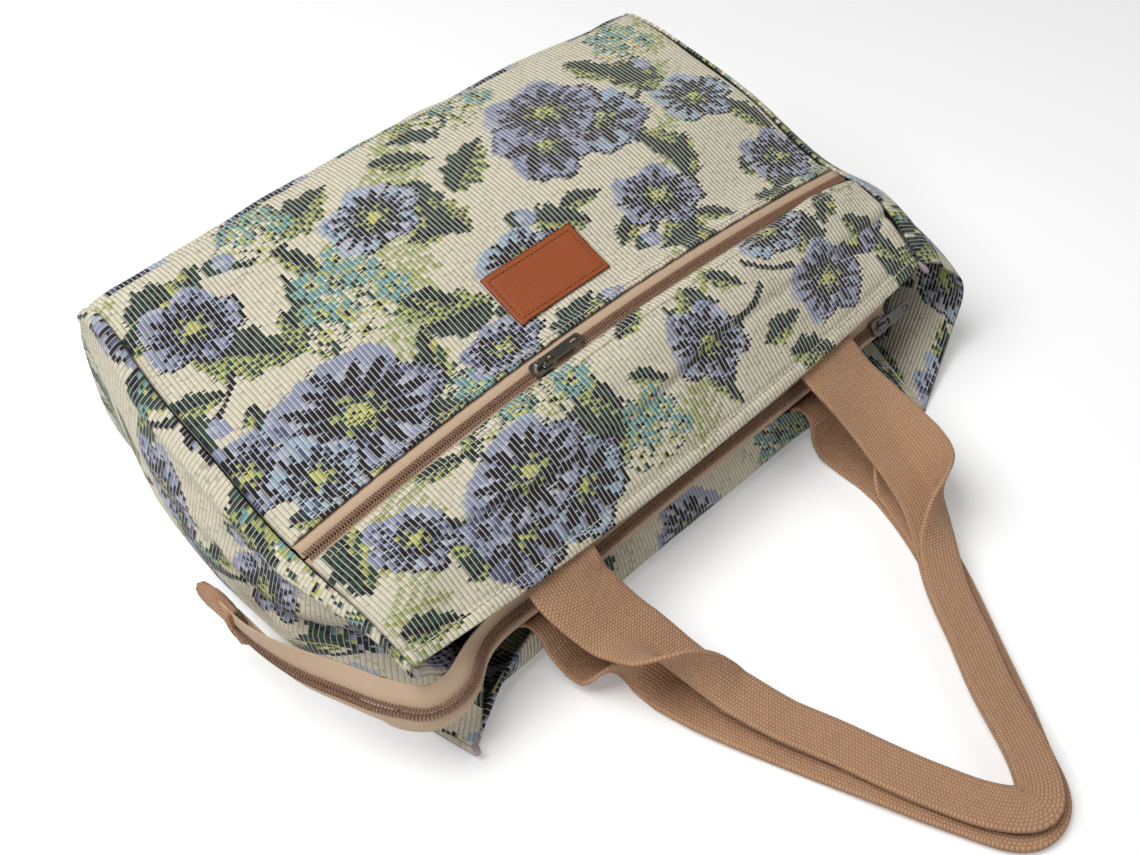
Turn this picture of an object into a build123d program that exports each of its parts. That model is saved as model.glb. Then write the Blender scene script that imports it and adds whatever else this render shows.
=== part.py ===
from build123d import *

import os
from math import asin, cos, degrees, floor, pi, radians, sin, sqrt

# Woven shopping bag, lying on its back panel. X runs across the bag, the mouth is at -Y and the
# base at +Y. The origin is on the ground, under the middle of the back panel.

# Layers of cloth
cloth = 1.5  # tapestry with its stiffening
facing_cloth = 1.0  # the same tapestry, single, turned in round the mouth
lining_cloth = 0.5
pocket_cloth = 0.4
layer_gap = 0.15  # air between two layers that lie on each other
root_gap = 0.7  # on each side of the webbing, where it is sewn in
lining_gap = 0.6
seam_edge = 0.15  # of each panel, short of the line where it is sewn to the next
seam_gap = 0.35  # between the wrap and the side panels sewn into it
ground_press = 0.5  # depth of cloth pressed flat by the weight of the bag

# Outer form of the bag
half_width = 182.0
base_height = 123.0
base_line = 117.0  # from the origin to the upper edge of the base
base_bulge = 20.0
base_foot = 134.0  # from the origin to the lower edge of the base
base_radius = 12.0
front_crown = 5.0
mouth_line = -105.0
mouth_height = 59.0
mouth_sag = 9.0
mouth_bow = 3.5
mouth_crown = 4.0
back_reach = 110.0  # from the origin to the outermost fold of the back hem
back_reach_left = 126.0
back_reach_right = 144.0
back_hem_height = 22.0
flat_end = -84.0  # where the back panel starts to lift off the ground

# Side panels
side_puff = 11.0
side_seam = 0.4  # from the end of the wrap to the border of a side panel
side_stations = 16
side_levels = 13
side_puff_run = 70.0
side_fold_run = 90.0
least_puff = 0.06
tuck_from = 0.08
tuck_share = 0.52  # how high on the left side its fold at the mouth lies
mouth_notch = {-1: [(-98, 33)], 1: []}  # where the border of a side panel falls back from the mouth
left_tuck = 36.0  # how far the left side folds in at the mouth
right_flare = 24.0  # how far the right side opens out at the mouth
lining_inset = 7.5  # from the outer face to the border of a side's lining

# Hem, lining and pocket bag, which ends short of the seams
facing_depth = 38.0
facing_ease = 0.7  # more room under the roots of the front handle
facing_half_width = half_width - 14
lining_half_width = half_width - 20
front_lining_sink = 5.6  # below the pocket bag
pocket_outer_sink = 3.0
pocket_inner_sink = 4.75  # below the slider
pocket_seam_sink = 2.9  # where the inner layer is sewn to the lower tape

# Coil zips
tape = 0.6
tape_width = 13.0
tape_gap = 0.6  # between a tape and the cloth over it
coil_width = 2.3
coil_height = 1.8
coil_parting = 1.1  # between the two coils, for the neck of the slider
tape_bend = 4.9  # from the middle of the chain to where a tape may turn

# Pocket zip, bowed over the front as an arc
pocket_left = Vector(-half_width, -38, 74)
pocket_right = Vector(half_width, -47, 87)
pocket_bow = 14.5
pocket_tape_shown = 9.0  # from the chain to the edge of the cloth on the base side
pocket_edge = 5.0  # from the chain to the edge of the cloth on the mouth side
pocket_terrace = 13.0  # half width of the level band that carries the zip
pocket_slider_at = -42.0
pocket_depth = 110.0  # of the pocket bag, from the chain toward the base
pocket_bag_half_width = half_width - 22

# Mouth zip
chain_line = -103.5
chain_height = 35.5
chain_right = half_width - 26
chain_left = 46 - half_width
chain_lean = 53.0  # of the chain's face from level
front_tape_width = 11.0
back_tape_width = 10.5
front_tape_bend = 37.0
back_tape_bend = -85.0
tail_front_bend = -20.0
tail_back_bend = -60.0
tail_end_bend = -10.0
# The loose tail, with X from the left seam
tail_points = ((35, -110, 36.5), (25, -116.5, 37), (11, -119, 38), (-1, -115.5, 38.5), (-7, -107, 39),
               (-13, -97, 39.5), (-18, -84, 39.5), (-24, -68, 39.5), (-28, -50, 39), (-29.5, -30, 38),
               (-29.5, -22, 38), (-29, -14, 38))
mouth_slider_at = half_width - 36
end_tab_length = 27.0
end_tab_cloth = 1.6
tab_width = 31.0
tab_depth = 9.0
tab_shift = (-2.5, 0.5)

# Slider and its pull, in the slider's own frame
slider_length = 11.0
slider_half_width = 4.3
slider_plate = 0.9
slider_flange = 0.9
slider_clearance = 0.45
slider_neck = 0.5
bail_width = 1.8
bail_length = 7.0
bail_window = 2.0
bail_bar = 0.9
pull_thickness = 1.0
pull_bar = 0.5
pull_half_width = 3.0
pull_arm = 1.2
pull_eye = 5.0
pull_length = 26.0

# Handles of folded webbing
webbing = 1.9
webbing_width = 40.0
handle_at = 96.5
handle_root = 8.0  # sewn in under the hem
back_handle_root = 5.0
flat_fold = 1.0  # the webbing is creased a little even where it lies flat

up, inward, half = (0, 0, 1), (0, 1, 0), (0, 1, 1)
front_handle_path = (
    (-95.5, -115, 43, up, 1), (-94, -121, 38, up, 1), (-91, -131, 31, up, 4), (-86, -146, 25, up, 25),
    (-80, -165, 20, up, 95), (-72, -190, 14, up, 165), (-64, -215, 10, up, 176), (-56, -238, 8, up, 176),
    (-50, -260, 8, up, 176), (-42, -284, 8, up, 176), (-33, -304, 8, up, 176), (-21, -313, 8, up, 176),
    (-9, -306, 8, up, 176), (4, -287, 8, up, 176), (18, -264, 8, up, 176), (31, -246, 8, up, 176),
    (45, -225, 8.5, up, 176), (60, -208, 11, up, 170), (75, -195, 15, up, 140), (87, -178, 20, up, 70),
    (94, -158, 25, up, 20), (97, -138, 31, up, 4), (97, -124, 38, up, 1), (96.5, -116, 43, up, 1),
)
back_handle_path = (
    (-96.5, -102.8, 22.6, inward, 1), (-96.5, -105.2, 25.2, half, 1), (-96.5, -110, 25.4, up, 1),
    (-96.3, -115, 21, up, 1), (-96, -118.5, 13.5, up, 1), (-95, -122, 8, up, 1), (-93, -129, 4, up, 10),
    (-90, -140, 2.6, up, 75), (-88, -151, 1.8, up, 150), (-86, -163, 1.8, up, 176),
    (-83, -180, 1.8, up, 176), (-77, -200, 1.8, up, 176), (-69, -222, 1.8, up, 176), (-59, -250, 1.8, up, 176),
    (-50, -275, 1.8, up, 176), (-40, -300, 1.8, up, 176), (-28, -317, 1.8, up, 176), (-14, -316, 1.8, up, 176),
    (-1, -301, 1.8, up, 176), (12, -284, 1.8, up, 176), (26, -264, 1.8, up, 176), (40, -244, 1.8, up, 176),
    (55, -222, 1.8, up, 176), (68, -200, 1.8, up, 176), (76, -183, 1.8, up, 176), (82, -169, 1.8, up, 176),
    (87, -155, 1.8, up, 150), (91, -142, 2.6, up, 75), (94, -132, 4, up, 10), (95.5, -125, 8, up, 1),
    (96, -121.5, 13.5, up, 1), (96.3, -118, 21, up, 1), (96.5, -112, 25.4, up, 1), (96.5, -106.5, 25.2, half, 1),
    (96.5, -104, 22.6, inward, 1),
)

# Leather patch
patch_length = 60.0
patch_width = 31.0
patch_thickness = 1.4
patch_at = -2.0
patch_from_zip = 24.5
patch_gap = 0.1


def blend(a, b, share):
    return a * (1 - share) + b * share


# The pocket zip runs in the plane of its ends and of the bow.
pocket_middle = (pocket_left + pocket_right) * 0.5
pocket_along = (pocket_right - pocket_left).normalized()
pocket_across = Vector(0, 0, 1).cross(pocket_along).normalized()
pocket_up = pocket_along.cross(pocket_across)
pocket_half = (pocket_right - pocket_left).length / 2
pocket_radius = (pocket_half**2 + pocket_bow**2) / (2 * pocket_bow)
tape_level = -(cloth + tape_gap + tape / 2)  # middle of a tape, below the outer face


def pocket_point(along, across, up=0.0):
    """Point on the level band round the pocket zip."""
    rise = sqrt(pocket_radius**2 - along**2) - (pocket_radius - pocket_bow)
    return pocket_middle + pocket_along * along + pocket_across * across + pocket_up * (rise + up)


def wrap_points(u):
    """Outer face of the front, base and back at u across the bag, -1 at the left seam."""
    middle = 1 - u * u
    lift = 1 - u**4

    def place(y, z):
        return Vector(0, y, z)

    hem = place(mouth_line - mouth_bow * middle, mouth_height - mouth_sag * middle)
    zip_low = pocket_point(u * pocket_half, -pocket_terrace)
    zip_mid = pocket_point(u * pocket_half, 0)
    zip_high = pocket_point(u * pocket_half, pocket_terrace)
    upper = (hem + zip_low) * 0.5 + Vector(0, 0, mouth_crown)
    edge = place(base_line + 8 * middle, base_height + 2 * middle)
    crown = 2 + 4 * u + front_crown * middle
    front = [zip_high + (edge - zip_high) * share + Vector(0, 0, crown) for share in (0.33, 0.66)]
    soft = base_radius * (1 - cos(pi / 4))
    shoulder = [edge + Vector(0, -base_radius, -base_radius * 0.12),
                edge + Vector(0, -soft, -soft),
                edge + Vector(0, base_radius * 0.25, -base_radius)]
    bulge = place(base_line + base_bulge + 3 * middle, base_height / 2)
    foot_y = base_foot + 4 * middle
    foot = [place(foot_y + 1, base_radius),
            place(foot_y - soft, soft - ground_press),
            place(foot_y - base_radius, -ground_press),
            place(foot_y - 2 * base_radius, -ground_press)]
    ground = [place(30, -ground_press), place(flat_end + 25, -ground_press), place(flat_end, -ground_press)]
    reach = -(back_reach_left + back_reach_right) / 2 - (back_reach_right - back_reach_left) / 2 * u
    rolled = [(-back_reach + 9, 1.0), (-back_reach + 1, 6.0),
              (-back_reach, 14.0), (-back_reach + 5, back_hem_height)]
    rising = []
    for share, (y, z) in zip((0.36, 0.58, 0.79, 1.0), rolled):
        level = blend(flat_end, reach, share)
        rising.append(place(blend(level, y, lift), blend(-ground_press, z, lift)))
    return [hem, upper, zip_low, zip_mid, zip_high, *front, *shoulder, bulge, *foot, *ground, *rising]


hem, zip_line, shoulder, foot, back_hem = 0, 3, 7, 12, 21  # key points of an outline, in order
spacing = half_width / 4  # between the sections that every layer of cloth is lofted through
sections = {}


def section_at(station):
    """Corners of the outer face at a station across the bag, their outward directions and how far along they lie."""
    if station not in sections:
        points = [Vector(0, p.Y, p.Z) for p in wrap_points(station * spacing / half_width)]
        outline = Edge.make_spline(points)
        keys = [outline.param_at_point(p) for p in points]
        shares = [blend(keys[i // 2], keys[(i + 1) // 2], 0.5) for i in range(2 * len(keys) - 1)]
        corners = [outline @ share for share in shares]
        outward = [Vector(0, -(outline % share).Z, (outline % share).Y) for share in shares]
        along = [0.0]
        for near, far in zip(corners, corners[1:]):
            along.append(along[-1] + (far - near).length)
        sections[station] = (corners, outward, along)
    return sections[station]


def how_far(station, place):
    """Distance from the hem to a place, given as (key point, millimetres beyond it)."""
    return section_at(station)[2][round(2 * place[0])] + place[1]


def station_point(station, place, depth):
    corners, outward, along = section_at(station)
    goal = how_far(station, place)
    i = 0
    while i < len(along) - 2 and along[i + 1] < goal:
        i += 1
    share = (goal - along[i]) / (along[i + 1] - along[i])
    return blend(corners[i] - outward[i] * depth, corners[i + 1] - outward[i + 1] * depth, share)


def cloth_point(x, place, depth):
    """Point of the cloth at x across the bag. Between the stations the cloth runs straight."""
    station = min(max(floor(x / spacing), -4), 3)
    near, far = (station_point(side, place, depth) for side in (station, station + 1))
    point = blend(near, far, x / spacing - station)
    return Vector(x, point.Y, point.Z)


def section_line(x, start, end, depth):
    """Points of a layer that lies so deep under the outer face, as (Y, Z) of the section at x."""
    first, last = how_far(0, start) + 3, how_far(0, end) - 3
    marks = [(i / 2, 0) for i in range(2 * back_hem + 1)]
    places = [start, *(mark for mark in marks if first < how_far(0, mark) < last), end]
    line = []
    for place in places:
        deep = depth(how_far(0, place) - how_far(0, start)) if callable(depth) else depth
        point = cloth_point(x, place, deep)
        line.append((point.Y, point.Z))
    return line


def cloth_layer(start, end, depth, thickness, near, far):
    """Layer of cloth between two places on the outline, lofted across the bag from near to far."""
    under = (lambda past: depth(past) + thickness) if callable(depth) else depth + thickness
    between = [i * spacing for i in range(-4, 5) if near < i * spacing < far]
    with BuildPart() as layer:
        for x in (near, *between, far):
            outer, inner = section_line(x, start, end, depth), section_line(x, start, end, under)
            with BuildSketch(Plane.YZ.offset(x)):
                with BuildLine():
                    Polyline(*outer, *inner[::-1], close=True)
                make_face()
        loft(ruled=True)
        split(bisect_by=Plane.XY)
    return layer.part


def smooth(value):
    value = min(max(value, 0), 1)
    return value * value * (3 - 2 * value)


def seam_height(side, y):
    """Height of the seam along the front where a side panel is y from the origin."""
    seam = section_line(side * half_width, (hem, 0), (shoulder, 0), 0)
    for (near_y, near_z), (far_y, far_z) in zip(seam, seam[1:]):
        if y < far_y:
            return blend(near_z, far_z, max(0, (y - near_y) / (far_y - near_y)))
    return seam[-1][1]


def side_swell(side, y, share):
    """How far a side panel stands out of its seams, at a share of its height."""
    from_mouth = (y - mouth_line) / side_fold_run
    puffed = smooth((base_line - y) / side_puff_run + 0.25) * smooth(from_mouth + 0.2)
    body = side_puff * blend(least_puff, 1, puffed) * sin(pi * share)
    near_mouth = 1 - smooth(from_mouth + 0.12)
    if side > 0:
        return body + right_flare * near_mouth * sin(pi * share)
    crease = (share - tuck_from) / (tuck_share - tuck_from) if share < tuck_share else (1 - share) / (1 - tuck_share)
    return body - left_tuck * near_mouth * max(crease, 0)


def side_layer(side, depth, thickness, inset):
    """Layer of a side panel, trimmed to the inside of the wrap's section."""
    border = section_line(side * half_width, (hem, 0), (back_hem, 0), inset) + mouth_notch[side]
    with BuildPart() as layer:
        for i in range(side_stations):
            y = blend(mouth_line - 42, base_line + base_bulge + 6, i / (side_stations - 1))
            shares = [blend(-0.03, 1.08, j / (side_levels - 1)) for j in range(side_levels)]
            line = [(side * (half_width - side_seam - depth + side_swell(side, y, share)), seam_height(side, y) * share)
                    for share in shares]
            inner = [(x - side * thickness, z) for x, z in line]
            with BuildSketch(Plane.XZ.offset(-y)):
                with BuildLine():
                    Polyline(*line, *inner[::-1], close=True)
                make_face()
        loft(ruled=True)
        with BuildSketch(Plane.YZ.offset(-2 * half_width)):
            with BuildLine():
                Polyline(*border, close=True)
            make_face()
        extrude(amount=4 * half_width, mode=Mode.INTERSECT)
        split(bisect_by=Plane.XY)
    return layer.part


def ribbon(line, thickness):
    """Outline of a strip of even thickness that follows a line of points in its section."""
    near, far = [], []
    for i, point in enumerate(line):
        before = (line[i] - line[i - 1]).normalized() if i else None
        after = (line[i + 1] - line[i]).normalized() if i + 1 < len(line) else None
        along = ((before or after) + (after or before)).normalized()
        reach = thickness / 2 / (along.dot(after or before))
        side = Vector(-along.Y, along.X, 0) * reach
        near.append(point + side)
        far.append(point - side)
    return near + far[::-1]


def turned(angle):
    return Vector(cos(radians(angle)), sin(radians(angle)), 0)


def facing_depth_at(past):
    """Depth of the front facing: the roots of the handles lie between it and the outer cloth."""
    return blend(cloth + 2 * root_gap + webbing + facing_ease, cloth + layer_gap, smooth((past - handle_root - 2) / 14))


def inner_pocket_depth(past):
    return blend(pocket_seam_sink, pocket_inner_sink, smooth((past - 3) / 5))


# Tapestry panels, cut separately and sewn edge to edge, with their facings and linings
cloth_pieces = {
    "front_top_panel": cloth_layer((hem, 0), (zip_line, -pocket_edge), 0, cloth, -half_width, half_width),
    "front_panel": cloth_layer((zip_line, pocket_tape_shown), (shoulder, -seam_edge), 0, cloth, -half_width, half_width),
    "base_panel": cloth_layer((shoulder, seam_edge), (foot + 2, -seam_edge), 0, cloth, -half_width, half_width),
    "back_panel": cloth_layer((foot + 2, seam_edge), (back_hem, 0), 0, cloth, -half_width, half_width),
    "facing_front": cloth_layer((hem, 0.5), (hem, facing_depth), facing_depth_at, facing_cloth, -facing_half_width, facing_half_width),
    "facing_back": cloth_layer((back_hem, -facing_depth), (back_hem, -0.5), cloth + layer_gap, facing_cloth,
                               -facing_half_width, facing_half_width),
    "lining_front": cloth_layer((zip_line, -pocket_terrace), (shoulder, -3), front_lining_sink, lining_cloth,
                                -lining_half_width, lining_half_width),
    "lining_back": cloth_layer((foot + 2, 3), (back_hem, -facing_depth - 4), cloth + 2 * layer_gap, lining_cloth,
                               -lining_half_width, lining_half_width),
    "pocket_bag_outer": cloth_layer((zip_line, tape_width - 3), (zip_line, pocket_depth), pocket_outer_sink,
                                    pocket_cloth, -pocket_bag_half_width, pocket_bag_half_width),
    "pocket_bag_inner": cloth_layer((zip_line, -tape_width), (zip_line, pocket_depth), inner_pocket_depth,
                                    pocket_cloth, -pocket_bag_half_width, pocket_bag_half_width),
    "gusset_left": side_layer(-1, 0, cloth, cloth + seam_gap),
    "gusset_right": side_layer(1, 0, cloth, cloth + seam_gap),
    "lining_left": side_layer(-1, cloth + lining_gap, lining_cloth, lining_inset),
    "lining_right": side_layer(1, cloth + lining_gap, lining_cloth, lining_inset),
}


# Slider of the coil zips. X runs along the chain, toward the open end, and Z out of its face.
with BuildPart() as slider:
    with BuildSketch(Plane.XY.offset(-tape / 2 - slider_clearance - slider_plate)):
        RectangleRounded(slider_length, 2 * slider_half_width, slider_half_width * 0.6)
    extrude(amount=slider_plate)
    roof = tape / 2 + coil_height + slider_clearance
    with BuildSketch(Plane.XY.offset(roof)):
        RectangleRounded(slider_length, 2 * slider_half_width, slider_half_width * 0.6)
    extrude(amount=slider_plate)
    with BuildSketch(Plane.XY.offset(tape / 2 + slider_clearance)):
        RectangleRounded(slider_length, 2 * slider_half_width, slider_half_width * 0.6)
        Rectangle(slider_length, 2 * (slider_half_width - slider_flange), mode=Mode.SUBTRACT)
    extrude(until=Until.NEXT)
    with BuildSketch(Plane.XY.offset(-tape / 2 - slider_clearance)):
        with Locations((slider_length / 4, 0)):
            Rectangle(slider_length / 3, slider_neck)
    extrude(until=Until.NEXT)
    with BuildSketch(Plane.XZ.offset(-bail_width / 2)):
        with Locations((0, roof + slider_plate + (bail_window + bail_bar) / 2)):
            Rectangle(bail_length, bail_window + bail_bar)
        with Locations((0, roof + slider_plate + bail_window / 2)):
            Rectangle(bail_length - 2 * bail_bar, bail_window, mode=Mode.SUBTRACT)
    extrude(amount=bail_width)
    bail_top = slider.edges().filter_by(Axis.Y).group_by(Axis.Z)[-1]
    fillet(bail_top, bail_bar * 0.8)

# Pull: a bar through the bail, two arms and a tab with an eye
pull_axis = roof + slider_plate + bail_window / 2
with BuildPart() as pull:
    with BuildSketch(Plane.XZ):
        with Locations((0, pull_axis)):
            Circle(pull_bar)
    extrude(amount=pull_half_width, both=True)
    with BuildSketch(Plane.XY.offset(pull_axis - pull_thickness / 2)):
        with Locations((pull_length / 2 - pull_bar, 0)):
            RectangleRounded(pull_length, 2 * pull_half_width, pull_half_width * 0.6)
        with Locations(((bail_length + pull_bar) / 2 - pull_bar, 0)):
            Rectangle(bail_length + pull_bar, 2 * (pull_half_width - pull_arm), mode=Mode.SUBTRACT)
        with Locations((pull_length - pull_eye, 0)):
            SlotOverall(pull_eye, pull_half_width, mode=Mode.SUBTRACT)
    extrude(amount=pull_thickness)
    with BuildSketch(Plane.XZ):
        with Locations((0, pull_axis)):
            Circle(pull_bar)
    extrude(amount=pull_half_width, both=True)

# Pocket zip: tapes and coils bent to the bow of the pocket mouth
zips = {}
pocket_centre = pocket_middle - pocket_up * (pocket_radius - pocket_bow)
pocket_angle = degrees(asin((pocket_half - 5) / pocket_radius))
half_coil = coil_parting / 2 + coil_width
for name, side, near, far, low, high in (
    ("pocket_tape_upper", 1, coil_parting / 2, coil_parting / 2 + tape_width, -tape / 2, tape / 2),
    ("pocket_tape_lower", -1, coil_parting / 2, coil_parting / 2 + tape_width, -tape / 2, tape / 2),
    ("pocket_coil_upper", 1, coil_parting / 2, half_coil, tape / 2, tape / 2 + coil_height),
    ("pocket_coil_lower", -1, coil_parting / 2, half_coil, tape / 2, tape / 2 + coil_height),
):
    chain = Plane(pocket_centre, x_dir=pocket_along, z_dir=pocket_across * side)
    with BuildPart() as strip:
        with BuildSketch(chain.offset(near)):
            with BuildLine():
                top = 90 * (1 if side < 0 else -1)
                inner = CenterArc((0, 0), pocket_radius + tape_level + low, top - pocket_angle, 2 * pocket_angle)
                outer = CenterArc((0, 0), pocket_radius + tape_level + high, top - pocket_angle, 2 * pocket_angle)
                Line(inner @ 0, outer @ 0)
                Line(inner @ 1, outer @ 1)
            make_face()
        extrude(amount=far - near)
    zips[name] = strip.part


def on_pocket_chain(along):
    """Frame of the pocket zip's slider at a place along the chain."""
    angle = asin(along / pocket_radius)
    out = pocket_up * cos(angle) + pocket_along * sin(angle)
    return Plane(pocket_centre + out * (pocket_radius + tape_level),
                 x_dir=pocket_along * cos(angle) - pocket_up * sin(angle), z_dir=out)


# Mouth zip: straight between the hems, with a loose tail past the left seam
lean_out = sin(radians(chain_lean))
lean_up = cos(radians(chain_lean))
tail = [Vector(chain_left, chain_line, chain_height)]
tail += [Vector(x - half_width, y, z) for x, y, z in tail_points]
tail_frames = []
for i, point in enumerate(tail):
    travel = tail[min(i + 1, len(tail) - 1)] - tail[max(i - 1, 0)]
    travel = Vector(-1, 0, 0) if i == 0 else Vector(travel.X, travel.Y, 0).normalized()
    away = Vector(-travel.Y, travel.X, 0)
    across = away * -lean_up + Vector(0, 0, lean_out)
    tail_frames.append(Plane(point, x_dir=across, z_dir=travel))


def mouth_section(piece, place):
    """Section of one piece of the mouth zip. X runs toward the front hem, Y into the bag."""
    side = 1 if piece.endswith("front") else -1
    if "coil" in piece:
        middle = tape / 2 + coil_height / 2
        line = [Vector(side * coil_parting / 2, -middle, 0), Vector(side * half_coil, -middle, 0)]
        return ribbon(line, coil_height)
    at_mouth, on_tail = (front_tape_bend, tail_front_bend) if side > 0 else (back_tape_bend, tail_back_bend)
    bend = blend(blend(at_mouth, on_tail, smooth(place / 4)), tail_end_bend, smooth((place - 8) / 3))
    width = front_tape_width if side > 0 else back_tape_width
    turn_at = Vector(side * tape_bend, 0, 0)
    ahead = turned(0 if side > 0 else 180)
    run = Vector(ahead.X * cos(radians(bend)), -sin(radians(bend)), 0)
    return ribbon([Vector(side * coil_parting / 2, 0, 0), turn_at, turn_at + run * (width - tape_bend)], tape)


for name in ("main_tape_front", "main_tape_back", "main_coil_front", "main_coil_back"):
    with BuildPart() as strip:
        for i, frame in enumerate(tail_frames):
            with BuildSketch(frame):
                with BuildLine():
                    Polyline(*mouth_section(name, i), close=True)
                make_face()
        loft(ruled=True)
        straight = strip.faces().sort_by(Axis.X)[-1]
        extrude(to_extrude=straight, amount=chain_right - chain_left)
    zips[name] = strip.part

mouth_frame = Plane((mouth_slider_at, chain_line, chain_height), x_dir=(1, 0, 0), z_dir=(0, -lean_out, lean_up))

# Tab of folded cloth that closes the tail
tab_frame = tail_frames[-1]
with BuildPart() as end_tab:
    with BuildSketch(tab_frame.offset(-8)):
        with Locations(tab_shift):
            RectangleRounded(tab_width, tab_depth, 1.5)
    extrude(amount=end_tab_length)
    with BuildSketch(tab_frame.offset(-8)):
        with Locations(tab_shift):
            Rectangle(tab_width - 2 * end_tab_cloth, tab_depth - 2 * end_tab_cloth)
    extrude(amount=8 + 2 * layer_gap, mode=Mode.SUBTRACT)


# Handles: flat webbing at the hem, folded in half along the grip
def webbing_section(fold):
    """Section of the webbing. The outer half folds over the inner half, which lies below."""
    turn = webbing + layer_gap
    crease = -webbing_width / 4 * fold / 180
    start = Vector(crease + turn / 2, 0, 0)
    over = start + turned(180 - fold / 2) * turn
    flat = webbing_width / 2 - turn / 2
    return ribbon([start + Vector(flat, 0, 0), start, over, over + turned(180 - fold) * flat], webbing)


def root_sections(at, key, into, face, root, under):
    """Where the webbing is sewn in under the hem, deepest first, with its upper face."""
    found = []
    for depth in (root, -0.5):
        place = (key, depth * into)
        outward = (cloth_point(at, place, 0) - cloth_point(at, place, 1)).normalized()
        across = cloth_point(at + 15, place, 0) - cloth_point(at - 15, place, 0)
        middle = cloth_point(at, place, under + root_gap + webbing / 2)
        found.append((middle, across.cross(outward.cross(Vector(1, 0, 0))).normalized() * face, flat_fold))
    return found


def handle_part(sections):
    """Loft through (point, hint of the upper face, fold in degrees)."""
    spots = [Vector(point) for point, hint, fold in sections]
    with BuildPart() as handle:
        for i, (point, hint, fold) in enumerate(sections):
            travel = (spots[min(i + 1, len(spots) - 1)] - spots[max(i - 1, 0)]).normalized()
            up = Vector(hint)
            up = (up - travel * up.dot(travel)).normalized()
            with BuildSketch(Plane(spots[i], x_dir=up.cross(travel), z_dir=travel)):
                with BuildLine():
                    Polyline(*webbing_section(fold), close=True)
                make_face()
        loft(ruled=True)
    return handle.part


handles = {}
for name, path, key, into, face, root, under in (
    ("handle_front", front_handle_path, hem, 1, 1, handle_root, cloth),
    ("handle_back", back_handle_path, back_hem, -1, -1, back_handle_root, cloth + layer_gap + facing_cloth),
):
    left = root_sections(-handle_at, key, into, face, root, under)
    right = root_sections(handle_at, key, into, face, root, under)[::-1]
    grip = [((x, y, z), hint, fold) for x, y, z, hint, fold in path]
    handles[name] = handle_part(left + grip + right)

# Leather patch sewn to the front
patch_start, patch_end = (zip_line, patch_from_zip), (zip_line, patch_from_zip + patch_width)
leather_patch = cloth_layer(patch_start, patch_end, -patch_gap - patch_thickness, patch_thickness,
                            patch_at - patch_length / 2, patch_at + patch_length / 2)

pocket_frame = on_pocket_chain(pocket_slider_at)
pieces = {
    **cloth_pieces,
    **zips,
    **handles,
    "pocket_slider": pocket_frame.from_local_coords(slider.part),
    "pocket_pull": pocket_frame.from_local_coords(pull.part),
    "main_slider": mouth_frame.from_local_coords(slider.part),
    "main_pull": mouth_frame.from_local_coords(pull.part),
    "zip_end_tab": end_tab.part,
    "leather_patch": leather_patch,
}

os.makedirs("parts", exist_ok=True)
for name, piece in pieces.items():
    piece.label = name
    export_step(piece, "parts/" + name + ".step")
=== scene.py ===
from math import cos, pi, radians, sin, sqrt

import bmesh
import bpy
import numpy as np
from mathutils import Matrix, Vector


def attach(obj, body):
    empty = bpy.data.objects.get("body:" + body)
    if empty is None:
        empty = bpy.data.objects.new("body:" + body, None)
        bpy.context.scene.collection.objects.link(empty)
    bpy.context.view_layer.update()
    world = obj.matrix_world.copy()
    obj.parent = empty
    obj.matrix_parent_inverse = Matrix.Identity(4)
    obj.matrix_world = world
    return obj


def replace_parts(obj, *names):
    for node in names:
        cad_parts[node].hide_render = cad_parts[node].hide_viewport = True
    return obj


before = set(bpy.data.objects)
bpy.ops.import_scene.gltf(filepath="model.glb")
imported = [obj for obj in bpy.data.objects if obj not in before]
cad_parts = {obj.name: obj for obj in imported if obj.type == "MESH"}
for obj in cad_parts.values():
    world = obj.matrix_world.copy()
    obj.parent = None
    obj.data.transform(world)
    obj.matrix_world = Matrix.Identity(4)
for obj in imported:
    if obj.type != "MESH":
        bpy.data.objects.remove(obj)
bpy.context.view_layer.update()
scene = bpy.context.scene
mm = 0.001


def linear(red, green, blue):
    # screen colour 0-255 to the linear colour that shaders take
    shares = (red / 255, green / 255, blue / 255)
    return tuple(c / 12.92 if c < 11 / 255 else ((c + 0.055) / 1.055) ** 2.4 for c in shares)


def soft(value):
    value = np.clip(value, 0, 1)
    return value * value * (3 - 2 * value)


def hump(distance, width):
    return np.exp(-(distance / width) ** 2)


def pointsAt(spots, far, line):
    # points of a line at distances along it
    return np.stack([np.interp(spots, far, line[:, axis]) for axis in range(3)], -1)


def unit(vectors):
    return vectors / np.linalg.norm(vectors, axis=1, keepdims=True)


# Shader maths written as Python
class Socket:
    def __init__(self, tree, source):
        self.tree = tree
        self.source = source

    def maths(self, operation, *others, swap=False):
        inputs = [self, *others]
        if swap:
            inputs = inputs[::-1]
        node = self.tree.nodes.new("ShaderNodeMath")
        node.operation = operation
        for slot, value in zip(node.inputs, inputs):
            plug(self.tree, slot, value)
        return Socket(self.tree, node.outputs[0])

    def __add__(self, other):
        return self.maths("ADD", other)

    def __radd__(self, other):
        return self.maths("ADD", other)

    def __sub__(self, other):
        return self.maths("SUBTRACT", other)

    def __rsub__(self, other):
        return self.maths("SUBTRACT", other, swap=True)

    def __mul__(self, other):
        return self.maths("MULTIPLY", other)

    def __rmul__(self, other):
        return self.maths("MULTIPLY", other)

    def __truediv__(self, other):
        return self.maths("DIVIDE", other)

    def fract(self):
        return self.maths("FRACT")

    def sine(self):
        return self.maths("SINE")

    def size(self):
        return self.maths("ABSOLUTE")

    def above(self, edge):
        return self.maths("GREATER_THAN", edge)

    def most(self, other):
        return self.maths("MAXIMUM", other)

    def least(self, other):
        return self.maths("MINIMUM", other)

    def power(self, other):
        return self.maths("POWER", other)

    def whole(self):
        return self.maths("FLOOR")


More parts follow.
